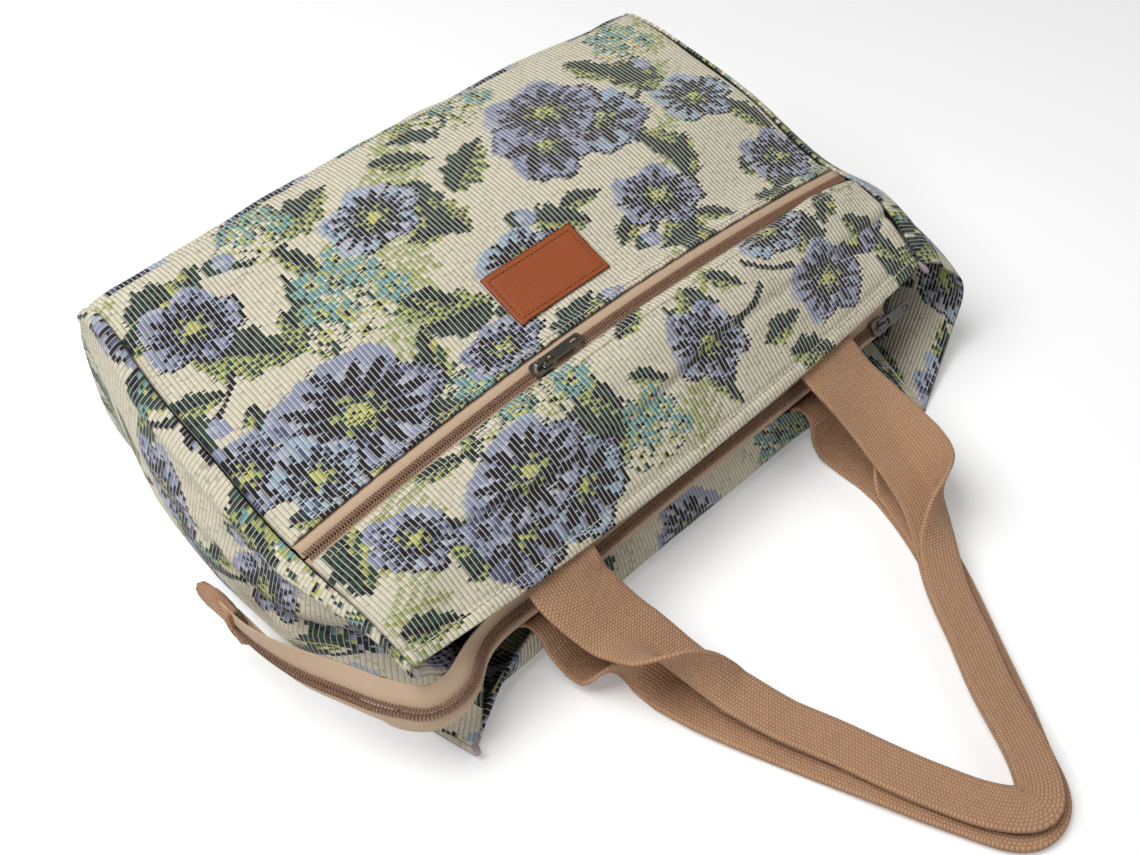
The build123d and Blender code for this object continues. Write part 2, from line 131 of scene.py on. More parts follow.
def plug(tree, slot, value):
    if isinstance(value, Socket):
        tree.links.new(value.source, slot)
    elif isinstance(value, tuple) and slot.type == "RGBA" and len(value) == 3:
        slot.default_value = (*value, 1)
    else:
        slot.default_value = value


class Finish:
    # one material, with its shader and the nodes that feed it
    def __init__(self, name, **shader):
        self.material = bpy.data.materials.new(name)
        self.material.use_nodes = True
        self.tree = self.material.node_tree
        self.shader = self.tree.nodes["Principled BSDF"]
        self.set(**shader)

    def set(self, **values):
        for name, value in values.items():
            plug(self.tree, self.shader.inputs[name.replace("_", " ")], value)

    def node(self, kind, inputs=(), output=0, **settings):
        node = self.tree.nodes.new("ShaderNode" + kind)
        stops = settings.pop("stops", None)
        for name, value in settings.items():
            setattr(node, name, value)
        if stops:
            for i, (place, colour) in enumerate(stops):
                stop = node.color_ramp.elements[i] if i < 2 else node.color_ramp.elements.new(place)
                stop.position = place
                stop.color = (*colour, 1)
        for name, value in dict(inputs).items():
            plug(self.tree, node.inputs[name], value)
        return Socket(self.tree, node.outputs[output])

    def mix(self, share, first, second, how="MIX"):
        return self.node("Mix", {0: share, 6: first, 7: second}, output=2, data_type="RGBA",
                         blend_type=how)

    def uv(self):
        place = self.node("UVMap")
        parts = self.tree.nodes.new("ShaderNodeSeparateXYZ")
        self.tree.links.new(place.source, parts.inputs[0])
        return Socket(self.tree, parts.outputs[0]), Socket(self.tree, parts.outputs[1])

    def noise(self, scale, detail=2.0, where=None):
        inputs = {"Scale": scale, "Detail": detail}
        inputs["Vector"] = where or self.node("TexCoord", output=3)
        return self.node("TexNoise", inputs)

    def bump(self, height, depth, strength=1.0):
        self.set(Normal=self.node("Bump", {"Height": height, "Distance": depth, "Strength": strength}))


# Tapestry: coloured cells come from the mesh, ribs and picks from the UV map, in millimetres
weave = {"rib": 2.46, "pick": 0.72, "ribHeight": 0.00042, "warpAt": 0.2, "warpSharp": 7.5,
         "warpMost": 0.72}


def tapestryFinish(name, attribute="cells"):
    finish = Finish(name, Roughness=0.86, Specular_IOR_Level=0.25, Sheen_Weight=0.12, Sheen_Roughness=0.5)
    across, along = finish.uv()
    cells = finish.node("Attribute", attribute_name=attribute)
    rib = (across / weave["rib"]).fract()
    crown = (rib * pi).sine()
    row = along / weave["pick"]
    stagger = (across / weave["rib"]).whole() * 0.5
    pick = ((row + stagger).fract() * pi).sine()
    warp = (1 - (rib - weave["warpAt"]).size() * weave["warpSharp"]).most(0)
    patchy = finish.noise(260, 3)
    cloudy = finish.noise(14, 2)
    # painted shade: the cell colours are darkened in the grooves between ribs and between weft picks
    shade = finish.mix((1 - crown).power(2.2) * 0.55, cells, linear(104, 98, 92), "MULTIPLY")
    pickShade = finish.mix((1 - pick).power(1.6) * 0.4, shade, linear(88, 84, 82), "MULTIPLY")
    lit = finish.mix((warp * (pick * 0.4 + 0.6) * 0.95).least(weave["warpMost"]), pickShade,
                     linear(240, 233, 214))
    dull = finish.mix(patchy * 0.22, lit, linear(150, 142, 134), "MULTIPLY")
    worn = finish.mix(cloudy * 0.08, dull, linear(196, 186, 170), "MULTIPLY")
    finish.set(Base_Color=worn, Roughness=0.8 + patchy * 0.16)
    finish.bump(crown * 0.75 + pick * crown * 0.3 + patchy * 0.22, weave["ribHeight"], 0.85)
    return finish.material


def grid(name, points, uv, finish, thick=0.0, colours=None, body="bag", offset=-1.0):
    # points is rows by columns by xyz in millimetres; uv the same by two
    rows, columns = points.shape[:2]
    shape = bmesh.new()
    bmesh.ops.create_grid(shape, x_segments=columns - 1, y_segments=rows - 1, size=1)
    layer = shape.loops.layers.uv.new("UVMap")
    shape.verts.ensure_lookup_table()
    index = {}
    for vert in shape.verts:
        i = round((vert.co.y + 1) / 2 * (rows - 1))
        j = round((vert.co.x + 1) / 2 * (columns - 1))
        index[vert.index] = (i, j)
    for vert in shape.verts:
        i, j = index[vert.index]
        vert.co = Vector(points[i, j]) * mm
    paint = shape.loops.layers.float_color.new("cells") if colours is not None else None
    for face in shape.faces:
        low = min(index[v.index][0] for v in face.verts)
        left = min(index[v.index][1] for v in face.verts)
        face.smooth = True
        for loop in face.loops:
            loop[layer].uv = uv[index[loop.vert.index]]
            if paint:
                loop[paint] = (*colours[low, left], 1)
    mesh = bpy.data.meshes.new(name)
    shape.to_mesh(mesh)
    shape.free()
    return piece(name, mesh, finish, body, thick, offset)


def piece(name, mesh, finish, body="bag", thick=0.0, offset=-1.0):
    made = bpy.data.objects.new(name, mesh)
    scene.collection.objects.link(made)
    mesh.materials.append(finish)
    if thick:
        solid = made.modifiers.new("thickness", "SOLIDIFY")
        solid.thickness = thick * mm
        solid.offset = offset
    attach(made, body)
    return made


# Form of the bag: key points down the front, over the base and back to the mouth
bag = {
    "halfWidth": 182.0, "baseHeight": 123.0, "baseLine": 117.0, "baseBulge": 20.0, "baseFoot": 134.0,
    "baseRadius": 12.0, "frontCrown": 5.0, "mouthLine": -105.0, "mouthHeight": 59.0, "mouthSag": 9.0,
    "mouthBow": 3.5, "mouthCrown": 4.0, "backReach": 110.0, "reachLeft": 126.0, "reachRight": 144.0,
    "backHem": 24.0, "flatEnd": -84.0, "press": 0.1,
    "baseHalf": 175.0, "backHalf": 186.0, "hemLeft": 168.0, "hemRight": 145.0,
}
zipLine, shoulder, foot, backHem = 3, 7, 12, 21

pocket = {
    "left": np.array([-182.0, -38, 74]), "right": np.array([182.0, -47, 87]), "bow": 14.5,
    "terrace": 13.0, "upperEdge": 8.6, "lipEdge": 5.0}  # lipEdge clears the slider all along
pocketMiddle = (pocket["left"] + pocket["right"]) / 2
pocketAlong = pocket["right"] - pocket["left"]
pocketHalf = np.linalg.norm(pocketAlong) / 2
pocketAlong = pocketAlong / np.linalg.norm(pocketAlong)
pocketAcross = np.cross([0, 0, 1], pocketAlong)
pocketAcross = pocketAcross / np.linalg.norm(pocketAcross)
pocketUp = np.cross(pocketAlong, pocketAcross)
pocketRadius = (pocketHalf ** 2 + pocket["bow"] ** 2) / (2 * pocket["bow"])


def pocketPoint(along, across, up=0.0):
    along = np.asarray(along, float)
    rise = np.sqrt(pocketRadius ** 2 - along ** 2) - (pocketRadius - pocket["bow"]) + up
    across = np.asarray(across, float)
    return (pocketMiddle + along[..., None] * pocketAlong + across[..., None] * pocketAcross
            + rise[..., None] * pocketUp)


def outlineKeys(u):
    middle = 1 - u * u
    lift = 1 - u ** 4
    b = bag

    def place(y, z, left, right):
        return np.stack([u * ((left + right) / 2 + (right - left) / 2 * u), y + 0 * u, z + 0 * u], -1)

    hem = place(b["mouthLine"] - b["mouthBow"] * middle, b["mouthHeight"] - b["mouthSag"] * middle,
                b["halfWidth"] - 2, b["halfWidth"] - 1)
    low, mid, high = (pocketPoint(u * pocketHalf, across + 0 * u) for across in (-pocket["terrace"], 0,
            pocket["terrace"]))
    upper = (hem + low) * 0.5 + np.array([0, 0, b["mouthCrown"]])
    edge = place(b["baseLine"] + 8 * middle, b["baseHeight"] + 2 * middle, b["baseHalf"] + 4,
                 b["baseHalf"] + 4)
    crown = np.zeros_like(edge)
    crown[:, 2] = 2 + 4 * u + b["frontCrown"] * middle
    front = [high + (edge - high) * share + crown for share in (0.33, 0.66)]
    r = b["baseRadius"]
    ease = r * (1 - cos(pi / 4))
    corner = [edge + np.array([0, -r, -r * 0.12]), edge + np.array([0, -ease, -ease]),
              edge + np.array([0, r * 0.25, -r])]
    bulge = place(b["baseLine"] + b["baseBulge"] + 3 * middle, b["baseHeight"] / 2, b["baseHalf"],
                  b["baseHalf"])
    footY = b["baseFoot"] + 4 * middle
    half = b["baseHalf"]
    floor = b["press"]
    sole = [place(footY + 1, r, half - 2, half - 2), place(footY - ease, ease + floor, half - 3,
            half - 3),
            place(footY - r, floor, half - 3, half - 3), place(footY - 2 * r, floor, half - 1, half - 1)]
    back = b["backHalf"]
    ground = [place(30, floor, back, back), place(b["flatEnd"] + 25, floor, back - 5, back - 7),
              place(b["flatEnd"], floor, back - 9, back - 14)]
    reach = -(b["reachLeft"] + b["reachRight"]) / 2 - (b["reachRight"] - b["reachLeft"]) / 2 * u
    rolled = ((-b["backReach"] + 8, 1.0), (-b["backReach"], 8.0), (-b["backReach"] + 3, 16.0),
              (-b["backReach"] + 9, b["backHem"]))
    rising = []
    for share, (y, z) in zip((0.36, 0.58, 0.79, 1.0), rolled):
        left = (back - 9) * (1 - share) + b["hemLeft"] * share
        right = (back - 14) * (1 - share) + b["hemRight"] * share
        level = b["flatEnd"] * (1 - share) + reach * share
        rising.append(place(level * (1 - lift) + y * lift, floor * (1 - lift) + z * lift, left, right))
    return np.stack([hem, upper, low, mid, high, *front, *corner, bulge, *sole, *ground, *rising], 1)


def throughPoints(keys, fine=1200):
    # natural cubic spline through each row of key points; returns points and lengths along it
    n, k = keys.shape[:2]
    t = np.zeros((n, k))
    t[:, 1:] = np.cumsum(np.linalg.norm(np.diff(keys, axis=1), axis=2), axis=1)
    h = np.diff(t, axis=1)
    system = np.zeros((n, k, k))
    right = np.zeros((n, k, 3))
    system[:, 0, 0] = system[:, -1, -1] = 1
    for i in range(1, k - 1):
        system[:, i, i - 1] = h[:, i - 1]
        system[:, i, i] = 2 * (h[:, i - 1] + h[:, i])
        system[:, i, i + 1] = h[:, i]
        after = (keys[:, i + 1] - keys[:, i]) / h[:, i, None]
        before = (keys[:, i] - keys[:, i - 1]) / h[:, i - 1, None]
        right[:, i] = 6 * (after - before)
    bend = np.linalg.solve(system, right)
    points = np.zeros((n, fine, 3))
    at = np.zeros((n, k), int)
    for row in range(n):
        place = np.linspace(0, t[row, -1], fine)
        i = np.clip(np.searchsorted(t[row], place, side="right") - 1, 0, k - 2)
        a = (t[row][i + 1] - place)[:, None]
        c = (place - t[row][i])[:, None]
        w = h[row][i][:, None]
        points[row] = (bend[row][i] * a ** 3 + bend[row][i + 1] * c ** 3) / (6 * w) \
            + (keys[row][i] / w - bend[row][i] * w / 6) * a + (keys[row][i + 1] / w - bend[row][i + 1]
                    * w / 6) * c
        at[row] = np.round(t[row] / t[row, -1] * (fine - 1)).astype(int)
    length = np.zeros((n, fine))
    length[:, 1:] = np.cumsum(np.linalg.norm(np.diff(points, axis=1), axis=2), axis=1)
    keyLength = np.take_along_axis(length, at, axis=1)
    return points, length, keyLength


def normals(points):
    down = np.gradient(points, axis=0)
    across = np.gradient(points, axis=1)
    out = np.cross(across, down)
    return out / np.maximum(np.linalg.norm(out, axis=2, keepdims=True), 1e-9)


# Floral layout: soft fields of colour, drawn cell by cell like a loom does
thread = {
    "cream": linear(226, 219, 196), "grey": linear(196, 189, 168), "lavender": linear(152, 161, 189),
    "pale": linear(184, 188, 206), "sky": linear(164, 186, 206), "navy": linear(34, 34, 46),
    "green": linear(54, 78, 68), "olive": linear(168, 174, 104), "yellow": linear(198, 200, 118),
    "teal": linear(114, 163, 162), "slate": linear(92, 100, 132), "fern": linear(186, 192, 150),
}
names = list(thread)
colourTable = np.array([thread[name] for name in names])
number = {name: i for i, name in enumerate(names)}
chance = np.random.default_rng(11)


class Loom:
    def __init__(self, across, along):
        self.x, self.y = across, along
        self.cells = np.zeros(across.shape, int)
        self.random = chance.random(across.shape)
        self.cells[self.random > 0.93] = number["grey"]

    def put(self, where, colour, share=1.0):
        self.cells[where & (self.random < share)] = number[colour]

    def local(self, x, y, turn):
        c, s = cos(radians(turn)), sin(radians(turn))
        dx, dy = self.x - x, self.y - y
        return dx * c + dy * s, dy * c - dx * s

    def ragged(self, amount):
        return (self.random - 0.5) * amount

    def flower(self, x, y, width, height, turn=0, petals=5, main="lavender", inner="pale",
               heart="yellow"):
        dx, dy = self.local(x, y, turn)
        angle = np.arctan2(dy / height, dx / width)
        reach = 2 * np.hypot(dx / width, dy / height) + self.ragged(0.07)
        phase = x * 0.7 + y
        lobe = 0.78 + 0.18 * np.abs(np.cos(angle * petals / 2)) + 0.05 * np.sin(angle * 7 + phase)
        inside = reach < lobe
        self.put(inside, main)
        self.put(inside & (np.sin(angle * petals + phase) + np.sin(reach * 11 + phase) > 0.55), inner,
                 0.97)
        self.put(inside & (np.sin(angle * 3 + phase * 2) + np.sin(reach * 7) > 1.1), "sky", 0.9)
        dark = lobe * (0.46 + 0.36 * np.abs(np.sin(angle * petals * 1.5 + phase)))
        self.put(reach < dark, "navy", 0.96)
        self.put((reach < dark * 0.9) & (np.sin(angle * petals * 3) > 0.55) & (reach > 0.3), "slate", 0.7)
        self.put(inside & (np.abs(np.cos(angle * petals / 2)) < 0.17) & (reach > 0.3), "navy", 0.85)
        self.put(inside & (reach > lobe * 0.88) & (np.sin(angle + 0.6) > 0.1), "navy", 0.75)
        self.put(inside & (reach > lobe * 0.78) & (reach < lobe * 0.88)
                 & (np.sin(angle * 2 + phase) > 0.3), "slate", 0.7)
        self.put(reach < 0.22, "green", 0.8)
        self.put(reach < 0.15, heart, 0.8)
        self.put((reach < 0.3) & (reach > 0.22) & (np.sin(angle * 6) > 0.2), "olive", 0.8)

    def pansy(self, x, y, width, height, turn=0):
        self.flower(x - width * 0.2, y + height * 0.1, width * 0.62, height * 0.8, turn, 3, "lavender",
                    "slate")
        self.flower(x + width * 0.2, y + height * 0.12, width * 0.62, height * 0.8, turn, 3, "sky",
                    "lavender")
        self.flower(x, y - height * 0.16, width * 0.8, height * 0.74, turn, 5, "lavender", "pale")

    def leaf(self, x, y, size, width, turn, light="olive"):
        dx, dy = self.local(x, y, turn)
        dx = dx + self.ragged(2.2)
        share = np.clip(dx / size + 0.5, 0, 1)
        half = width * np.sin(pi * share ** 0.75) * 0.5 * (1 + 0.16 * np.sin(share * 26))
        inside = (np.abs(dx) < size / 2) & (np.abs(dy) < half)
        self.put(inside, "green")
        vein = ((dx + np.abs(dy) * 1.3) / 5.4) % 1
        self.put(inside & (dy > half * 0.1) & (vein < 0.6), light, 0.85)
        self.put(inside & (dy > half * 0.45) & (vein < 0.3), "yellow", 0.7)
        self.put(inside & (dy <= 0) & (vein > 0.72), "navy", 0.85)
        self.put(inside & (np.abs(dy) < 1.0), "navy", 0.85)

    def fern(self, x, y, size, turn):
        dx, dy = self.local(x, y, turn)
        share = np.clip(dx / size + 0.5, 0, 1)
        half = size * 0.34 * np.sin(pi * share ** 0.8)
        blade = ((dx - np.abs(dy) * 0.9) / 7.4) % 1
        inside = (np.abs(dx) < size / 2) & (np.abs(dy) < half)
        self.put(inside & (blade < 0.5), "fern", 0.94)
        self.put(inside & (blade < 0.18), "olive", 0.85)
        self.put((np.abs(dx) < size / 2) & (np.abs(dy) < 0.9), "olive", 0.9)

    def cluster(self, x, y, size, colour="teal"):
        for i in range(11):
            turn = i * 2.4
            far = size * 0.5 * sqrt((i + 0.3) / 11)
            cx, cy = x + far * cos(turn), y + far * sin(turn)
            dx, dy = self.x - cx, self.y - cy
            angle = np.arctan2(dy, dx)
            spot = np.hypot(dx / (size * 0.17), dy / (size * 0.15)) + self.ragged(0.2)
            self.put(spot < 1.3, "green" if i % 2 else "olive", 0.55)
            star = 0.75 + 0.4 * np.abs(np.cos(angle * 3))
            self.put(spot < star, colour if i % 3 else "cream", 0.88)
            self.put((spot < star) & (np.abs(np.cos(angle * 3)) < 0.25), "green", 0.8)
            self.put(spot < 0.4, "yellow", 0.75)
            self.put(spot < 0.2, "navy", 0.7)

    def stem(self, x1, y1, x2, y2, sag=0.0):
        share = np.clip(((self.x - x1) * (x2 - x1) + (self.y - y1) * (y2 - y1))
                        / ((x2 - x1) ** 2 + (y2 - y1) ** 2), 0, 1)
        off = np.hypot(self.x - (x1 + (x2 - x1) * share), self.y - (y1 + (y2 - y1) * share) - sag * 4
                       * share * (1 - share))
        dash = (np.floor(self.x / 2.46) + np.floor(self.y / 2.8)) % 3
        self.put((off < 1.9) & (dash < 2), "navy")
        self.put((off < 1.9) & (dash >= 2), "green")

    def bud(self, x, y, size, turn=0):
        dx, dy = self.local(x, y, turn)
        self.put(np.hypot(dx / size, dy / (size * 0.6)) < 0.5, "lavender")
        self.put((np.hypot(dx / size, dy / (size * 0.6)) < 0.5) & (dx < -size * 0.12), "green")
        self.put(np.hypot(dx / size, dy / (size * 0.6)) < 0.2, "pale")

    def meadow(self, seed):
        # an even scatter of the same flowers, for the sides, the base and the back
        pick = np.random.default_rng(seed)
        left, low = self.x.min() - 30, self.y.min() - 30
        for row in range(int(np.ptp(self.y) / 62) + 3):
            for column in range(int(np.ptp(self.x) / 78) + 3):
                x = left + (column + 0.5 * (row % 2) + 0.25 * pick.random()) * 78
                y = low + (row + 0.25 * pick.random()) * 62
                turn = pick.random() * 180
                self.leaf(x + 38, y + 18, 36, 17, turn)
                self.leaf(x - 30, y + 24, 32, 15, turn + 70, "teal")
                self.leaf(x + 16, y - 27, 30, 14, turn + 120)
                self.stem(x + 20, y + 20, x + 52, y + 36, 3)
                self.bud(x + 52, y + 36, 15, turn)
                kind = int(pick.random() * 5)
                if kind == 0:
                    self.pansy(x, y, 74, 56, turn / 4)
                elif kind == 3:
                    self.cluster(x, y, 50)
                else:
                    self.flower(x, y, 60, 46, turn, main=("lavender", "sky", "lavender")[kind % 3])

    def colours(self):
        # threads of one colour still differ a little from cell to cell
        uneven = 0.93 + 0.14 * chance.random(self.cells.shape)[..., None]
        return np.clip(colourTable[self.cells] * uneven, 0, 1)


def frontLayout(loom):
    # x from the left seam, y from the base edge, in millimetres
    for i in range(44):
        loom.fern((i * 137.5) % 372 - 4, (i * 61.8 + 12) % 238 - 4, 30 + 11 * sin(i * 2.3), i * 67)
    for i in range(34):
        loom.leaf((i * 97.3 + 30) % 372 - 4, (i * 83.1 + 26) % 238 - 4, 40 + 9 * sin(i * 1.7),
                  21 + 4 * cos(i * 2.9), i * 53)
    for x, y, size, width, turn in (
            (43, 66, 56, 28, 38), (70, 78, 40, 20, 80), (196, 44, 44, 22, -30), (172, 22, 34, 15, 30),
            (138, 210, 52, 24, 5), (150, 190, 36, 16, 60), (92, 44, 30, 13, 60), (12, 72, 26, 12, 20),
            (8, 30, 24, 12, -20), (304, 30, 40, 18, 60), (226, 96, 26, 11, 10),
            (236, 122, 26, 12, -30), (296, 104, 34, 15, -50), (318, 48, 32, 14, 20),
            (352, 100, 34, 16, 70), (322, 150, 30, 13, 20), (246, 178, 24, 11, 40),
            (190, 168, 26, 11, -20), (178, 196, 22, 10, 30), (262, 214, 30, 13, -10),
            (344, 200, 40, 18, 60), (330, 172, 26, 12, -40), (20, 152, 34, 16, 40),
            (70, 170, 26, 12, 15), (60, 214, 30, 14, -15), (20, 222, 34, 13, 20),
            (160, 128, 34, 15, 20), (106, 122, 34, 17, -70), (92, 146, 30, 14, 20),
            (24, 100, 26, 12, 100), (210, 8, 30, 14, 70), (150, 70, 24, 10, 20),
            (282, 140, 24, 11, 30), (128, 100, 26, 12, 45), (214, 222, 28, 12, 70)):
        loom.leaf(x, y, size, width, turn)
    for x1, y1, x2, y2, sag in (
            (196, 92, 232, 62, 4), (198, 150, 208, 178, -3), (230, 134, 252, 126, 2),
            (8, 84, 30, 70, 3), (262, 176, 286, 190, 3), (166, 148, 188, 160, 2),
            (300, 60, 326, 40, 3), (60, 22, 92, 30, 3), (88, 178, 104, 186, 2), (238, 198, 262, 190, 3)):
        loom.stem(x1, y1, x2, y2, sag)
    for x, y, size in (
            (96, 74, 50), (122, 166, 56), (222, -2, 44), (166, 218, 34), (84, 12, 36), (352, 158, 30),
            (334, 18, 34)):
        loom.cluster(x, y, size)
    for x, y, width, height, turn, main in (
            (30, 40, 58, 40, 10, "lavender"), (136, 43, 62, 42, -5, "sky"),
            (263, 116, 58, 40, 15, "lavender"), (6, 112, 50, 40, 20, "lavender"),
            (333, 74, 56, 40, 0, "sky"), (345, 128, 48, 38, 10, "lavender"),
            (217, 199, 52, 44, 20, "lavender"), (303, 206, 58, 42, -10, "lavender"),
            (289, 168, 52, 34, 0, "sky"), (38, 188, 46, 34, 30, "lavender"),
            (136, 138, 50, 30, 0, "lavender"), (176, 106, 54, 34, 0, "sky")):
        loom.flower(x, y, width, height, turn, main=main)
    loom.pansy(256, 50, 96, 72, 8)
    loom.flower(62, 122, 92, 66, 12)
    loom.flower(30, 134, 50, 40, 60, main="sky")
    loom.pansy(98, 208, 94, 66, -6)
    for x, y, size, turn in (
            (192, 88, 18, 20), (196, 148, 16, 0), (8, 86, 16, 40), (60, 20, 18, 0), (238, 134, 16, 10),
            (328, 38, 16, 0)):
        loom.bud(x, y, size, turn)


def ripples(x, y, seed, size):
    pick = np.random.default_rng(seed)
    total = np.zeros(np.broadcast(x, y).shape)
    waves = 9
    for _ in range(waves):
        turn = pick.random() * pi
        wave = size * (0.55 + pick.random())
        total = total + np.sin((x * cos(turn) + y * sin(turn)) / wave * 2 * pi + pick.random()
                               * 7) * wave / size
    return total / waves


# Camera, backdrop and lights
view = {
    "place": (-0.366, -0.380, 0.546), "right": (0.703, -0.711, 0.0), "up": (0.516, 0.510, 0.688),
    "lens": 44.46}
right, up = Vector(view["right"]).normalized(), Vector(view["up"]).normalized()
away = right.cross(up).normalized()
lens = bpy.data.cameras.new("camera")
lens.lens, lens.sensor_width, lens.clip_start = view["lens"], 36, 0.01
camera = bpy.data.objects.new("camera", lens)
camera.matrix_world = Matrix((right, up, away)).transposed().to_4x4()
camera.matrix_world.translation = view["place"]
scene.collection.objects.link(camera)
scene.camera = camera
scene.view_settings.view_transform = "Standard"

studio = {
    "key": ((-0.55, 0.35, 1.25), 1.1, 23.0), "fill": ((0.75, -0.75, 0.8), 1.0, 4.0),
    "low": ((-0.9, -0.8, 0.35), 0.8, 3.0)}
for name, (place, size, power) in studio.items():
    lamp = bpy.data.lights.new(name, "AREA")
    lamp.size, lamp.energy = size, power
    holder = bpy.data.objects.new(name, lamp)
    holder.location = place
    holder.rotation_euler = (Vector((0, -0.05, 0.03)) - Vector(place)).to_track_quat("-Z", "Y").to_euler()
    scene.collection.objects.link(holder)

sky = bpy.data.worlds.new("studio")
scene.world = sky
sky.use_nodes = True
ground = sky.node_tree.nodes["Background"]
ray = sky.node_tree.nodes.new("ShaderNodeLightPath")
seen = Socket(sky.node_tree, ray.outputs["Is Camera Ray"])
plug(sky.node_tree, ground.inputs["Color"], (1.0, 1.0, 1.0))
plug(sky.node_tree, ground.inputs["Strength"], seen * 0.96 + 0.04)

paper = Finish("backdrop", Base_Color=(0.86, 0.86, 0.86), Roughness=0.9, Specular_IOR_Level=0.1)
glow = paper.mix(paper.node("LightPath"), (0.0, 0.0, 0.0), (0.2, 0.2, 0.2))
paper.set(Emission_Color=glow, Emission_Strength=1.0)
flat = bpy.data.meshes.new("floor")
flat.from_pydata([(-3, -3, 0), (3, -3, 0), (3, 3, 0), (-3, 3, 0)], [], [(0, 1, 2, 3)])
flat.materials.append(paper.material)
floor = bpy.data.objects.new("floor", flat)
scene.collection.objects.link(floor)
print("studio")


# Finishes of the other cloths, the leather and the metal
def webbingFinish(name, colour, dark):
    finish = Finish(name, Roughness=0.9, Specular_IOR_Level=0.2, Sheen_Weight=0.1, Sheen_Roughness=0.5)
    across, along = finish.uv()
    row = across / 1.7
    stagger = row.whole() * 0.5
    lump = (row.fract() * pi).sine() * ((along / 1.5 + stagger).fract() * pi).sine()
    patchy = finish.noise(300, 3)
    cloudy = finish.noise(22, 2)
    shade = finish.mix((1 - lump).power(1.7) * 0.85, colour, dark)
    worn = finish.mix(patchy * 0.26 + cloudy * 0.12, shade, linear(214, 176, 142))
    finish.set(Base_Color=worn, Roughness=0.82 + patchy * 0.14)
    finish.bump(lump + patchy * 0.22, 0.00048, 0.8)
    return finish.material


def tapeFinish(name, colour, dark):
    finish = Finish(name, Roughness=0.7, Specular_IOR_Level=0.35, Sheen_Weight=0.15, Sheen_Roughness=0.4)
    across, along = finish.uv()
    zigzag = ((across / 3.2).fract() - 0.5).size() * 2.4
    twill = (((along + zigzag) / 0.85).fract() * pi).sine()
    fine = finish.noise(500, 2)
    cloudy = finish.noise(18, 2)
    # painted shade in the twill grooves, plus random cloudy tone, darkens the tape colour
    finish.set(Base_Color=finish.mix((1 - twill) * 0.3 + cloudy * 0.12, colour, dark),
               Roughness=0.62 + fine * 0.16)
    finish.bump(twill + fine * 0.3, 0.00014, 0.7)
    return finish.material


def plainCloth(name, colour, dark):
    finish = Finish(name, Roughness=0.85, Specular_IOR_Level=0.2, Sheen_Weight=0.1, Sheen_Roughness=0.5)
    across, along = finish.uv()
    over = ((across / 0.8).fract() * pi).sine()
    under = ((along / 0.8).fract() * pi).sine()
    cloudy = finish.noise(20, 3)
    # painted shade where the threads dip under each other, plus random cloudy tone, darkens the lining
    # colour
    finish.set(Base_Color=finish.mix((1 - over * under) * 0.35 + cloudy * 0.2, colour, dark),
               Roughness=0.8 + cloudy * 0.15)
    finish.bump(over * under + cloudy * 0.3, 0.0001, 0.6)
    return finish.material


def threadFinish(name, colour, dark):
    finish = Finish(name, Roughness=0.6, Specular_IOR_Level=0.4, Sheen_Weight=0.1)
    patchy = finish.noise(700, 2)
    finish.set(Base_Color=finish.mix(patchy * 0.6, colour, dark), Roughness=0.5 + patchy * 0.3)
    finish.bump(patchy, 0.0001, 0.6)
    return finish.material


def leatherFinish(name, wide, tall):
    finish = Finish(name, Roughness=0.5, Specular_IOR_Level=0.4)
    across, along = finish.uv()
    edge = ((across / wide - 0.5).size() * 2 * wide / tall
            + (1 - wide / tall)).most((along / tall - 0.5).size() * 2)
    grain = finish.node("TexVoronoi", {"Scale": 900.0, "Vector": finish.node("TexCoord", output=3)})
    cloudy = finish.noise(46, 4)
    rim = edge.above(0.955)
    shade = finish.mix(cloudy * 0.75, linear(160, 82, 42), linear(128, 60, 28))
    burnt = finish.mix(rim * 0.55, shade, linear(66, 28, 14))
    finish.set(Base_Color=burnt, Roughness=0.42 + cloudy * 0.22)
    finish.bump(grain * 0.5 + cloudy, 0.00018, 0.6)
    return finish.material


def metalFinish(name, colour):
    finish = Finish(name, Metallic=1.0, Roughness=0.28)
    haze = finish.noise(120, 3)
    scratch = finish.noise(2400, 2)
    finish.set(Base_Color=finish.mix(haze * 0.4, colour, linear(70, 68, 66)),
               Roughness=0.2 + haze * 0.2 + scratch * 0.08)
    finish.bump(scratch, 0.00003, 0.5)
    return finish.material


tapestry = tapestryFinish("tapestry")
webbingCloth = webbingFinish("webbing", linear(182, 140, 108), linear(120, 84, 60))
tapeCloth = tapeFinish("zip_tape", linear(192, 166, 140), linear(158, 130, 104))
liningCloth = plainCloth("lining", linear(104, 92, 80), linear(74, 64, 56))
coilNylon = threadFinish("zip_coil", linear(146, 106, 82), linear(92, 62, 46))
binding = threadFinish("binding", linear(178, 158, 168), linear(140, 122, 132))
paleThread = threadFinish("pale_thread", linear(214, 206, 184), linear(170, 160, 138))
gunmetal = metalFinish("hardware", linear(150, 146, 142))


# Wrap of the bag: front, base and back
seamsAndMiddle = np.array([-1.0, 0.0, 1.0])
sideLine, sideLength, sideKeys = throughPoints(outlineKeys(seamsAndMiddle))
frontLength = sideKeys[1, shoulder] - sideKeys[1, zipLine]


def seamRoll(u, side=0.02, deep=2.2):
    return -deep * (soft((np.abs(u) - 1 + side) / side)) ** 1.5


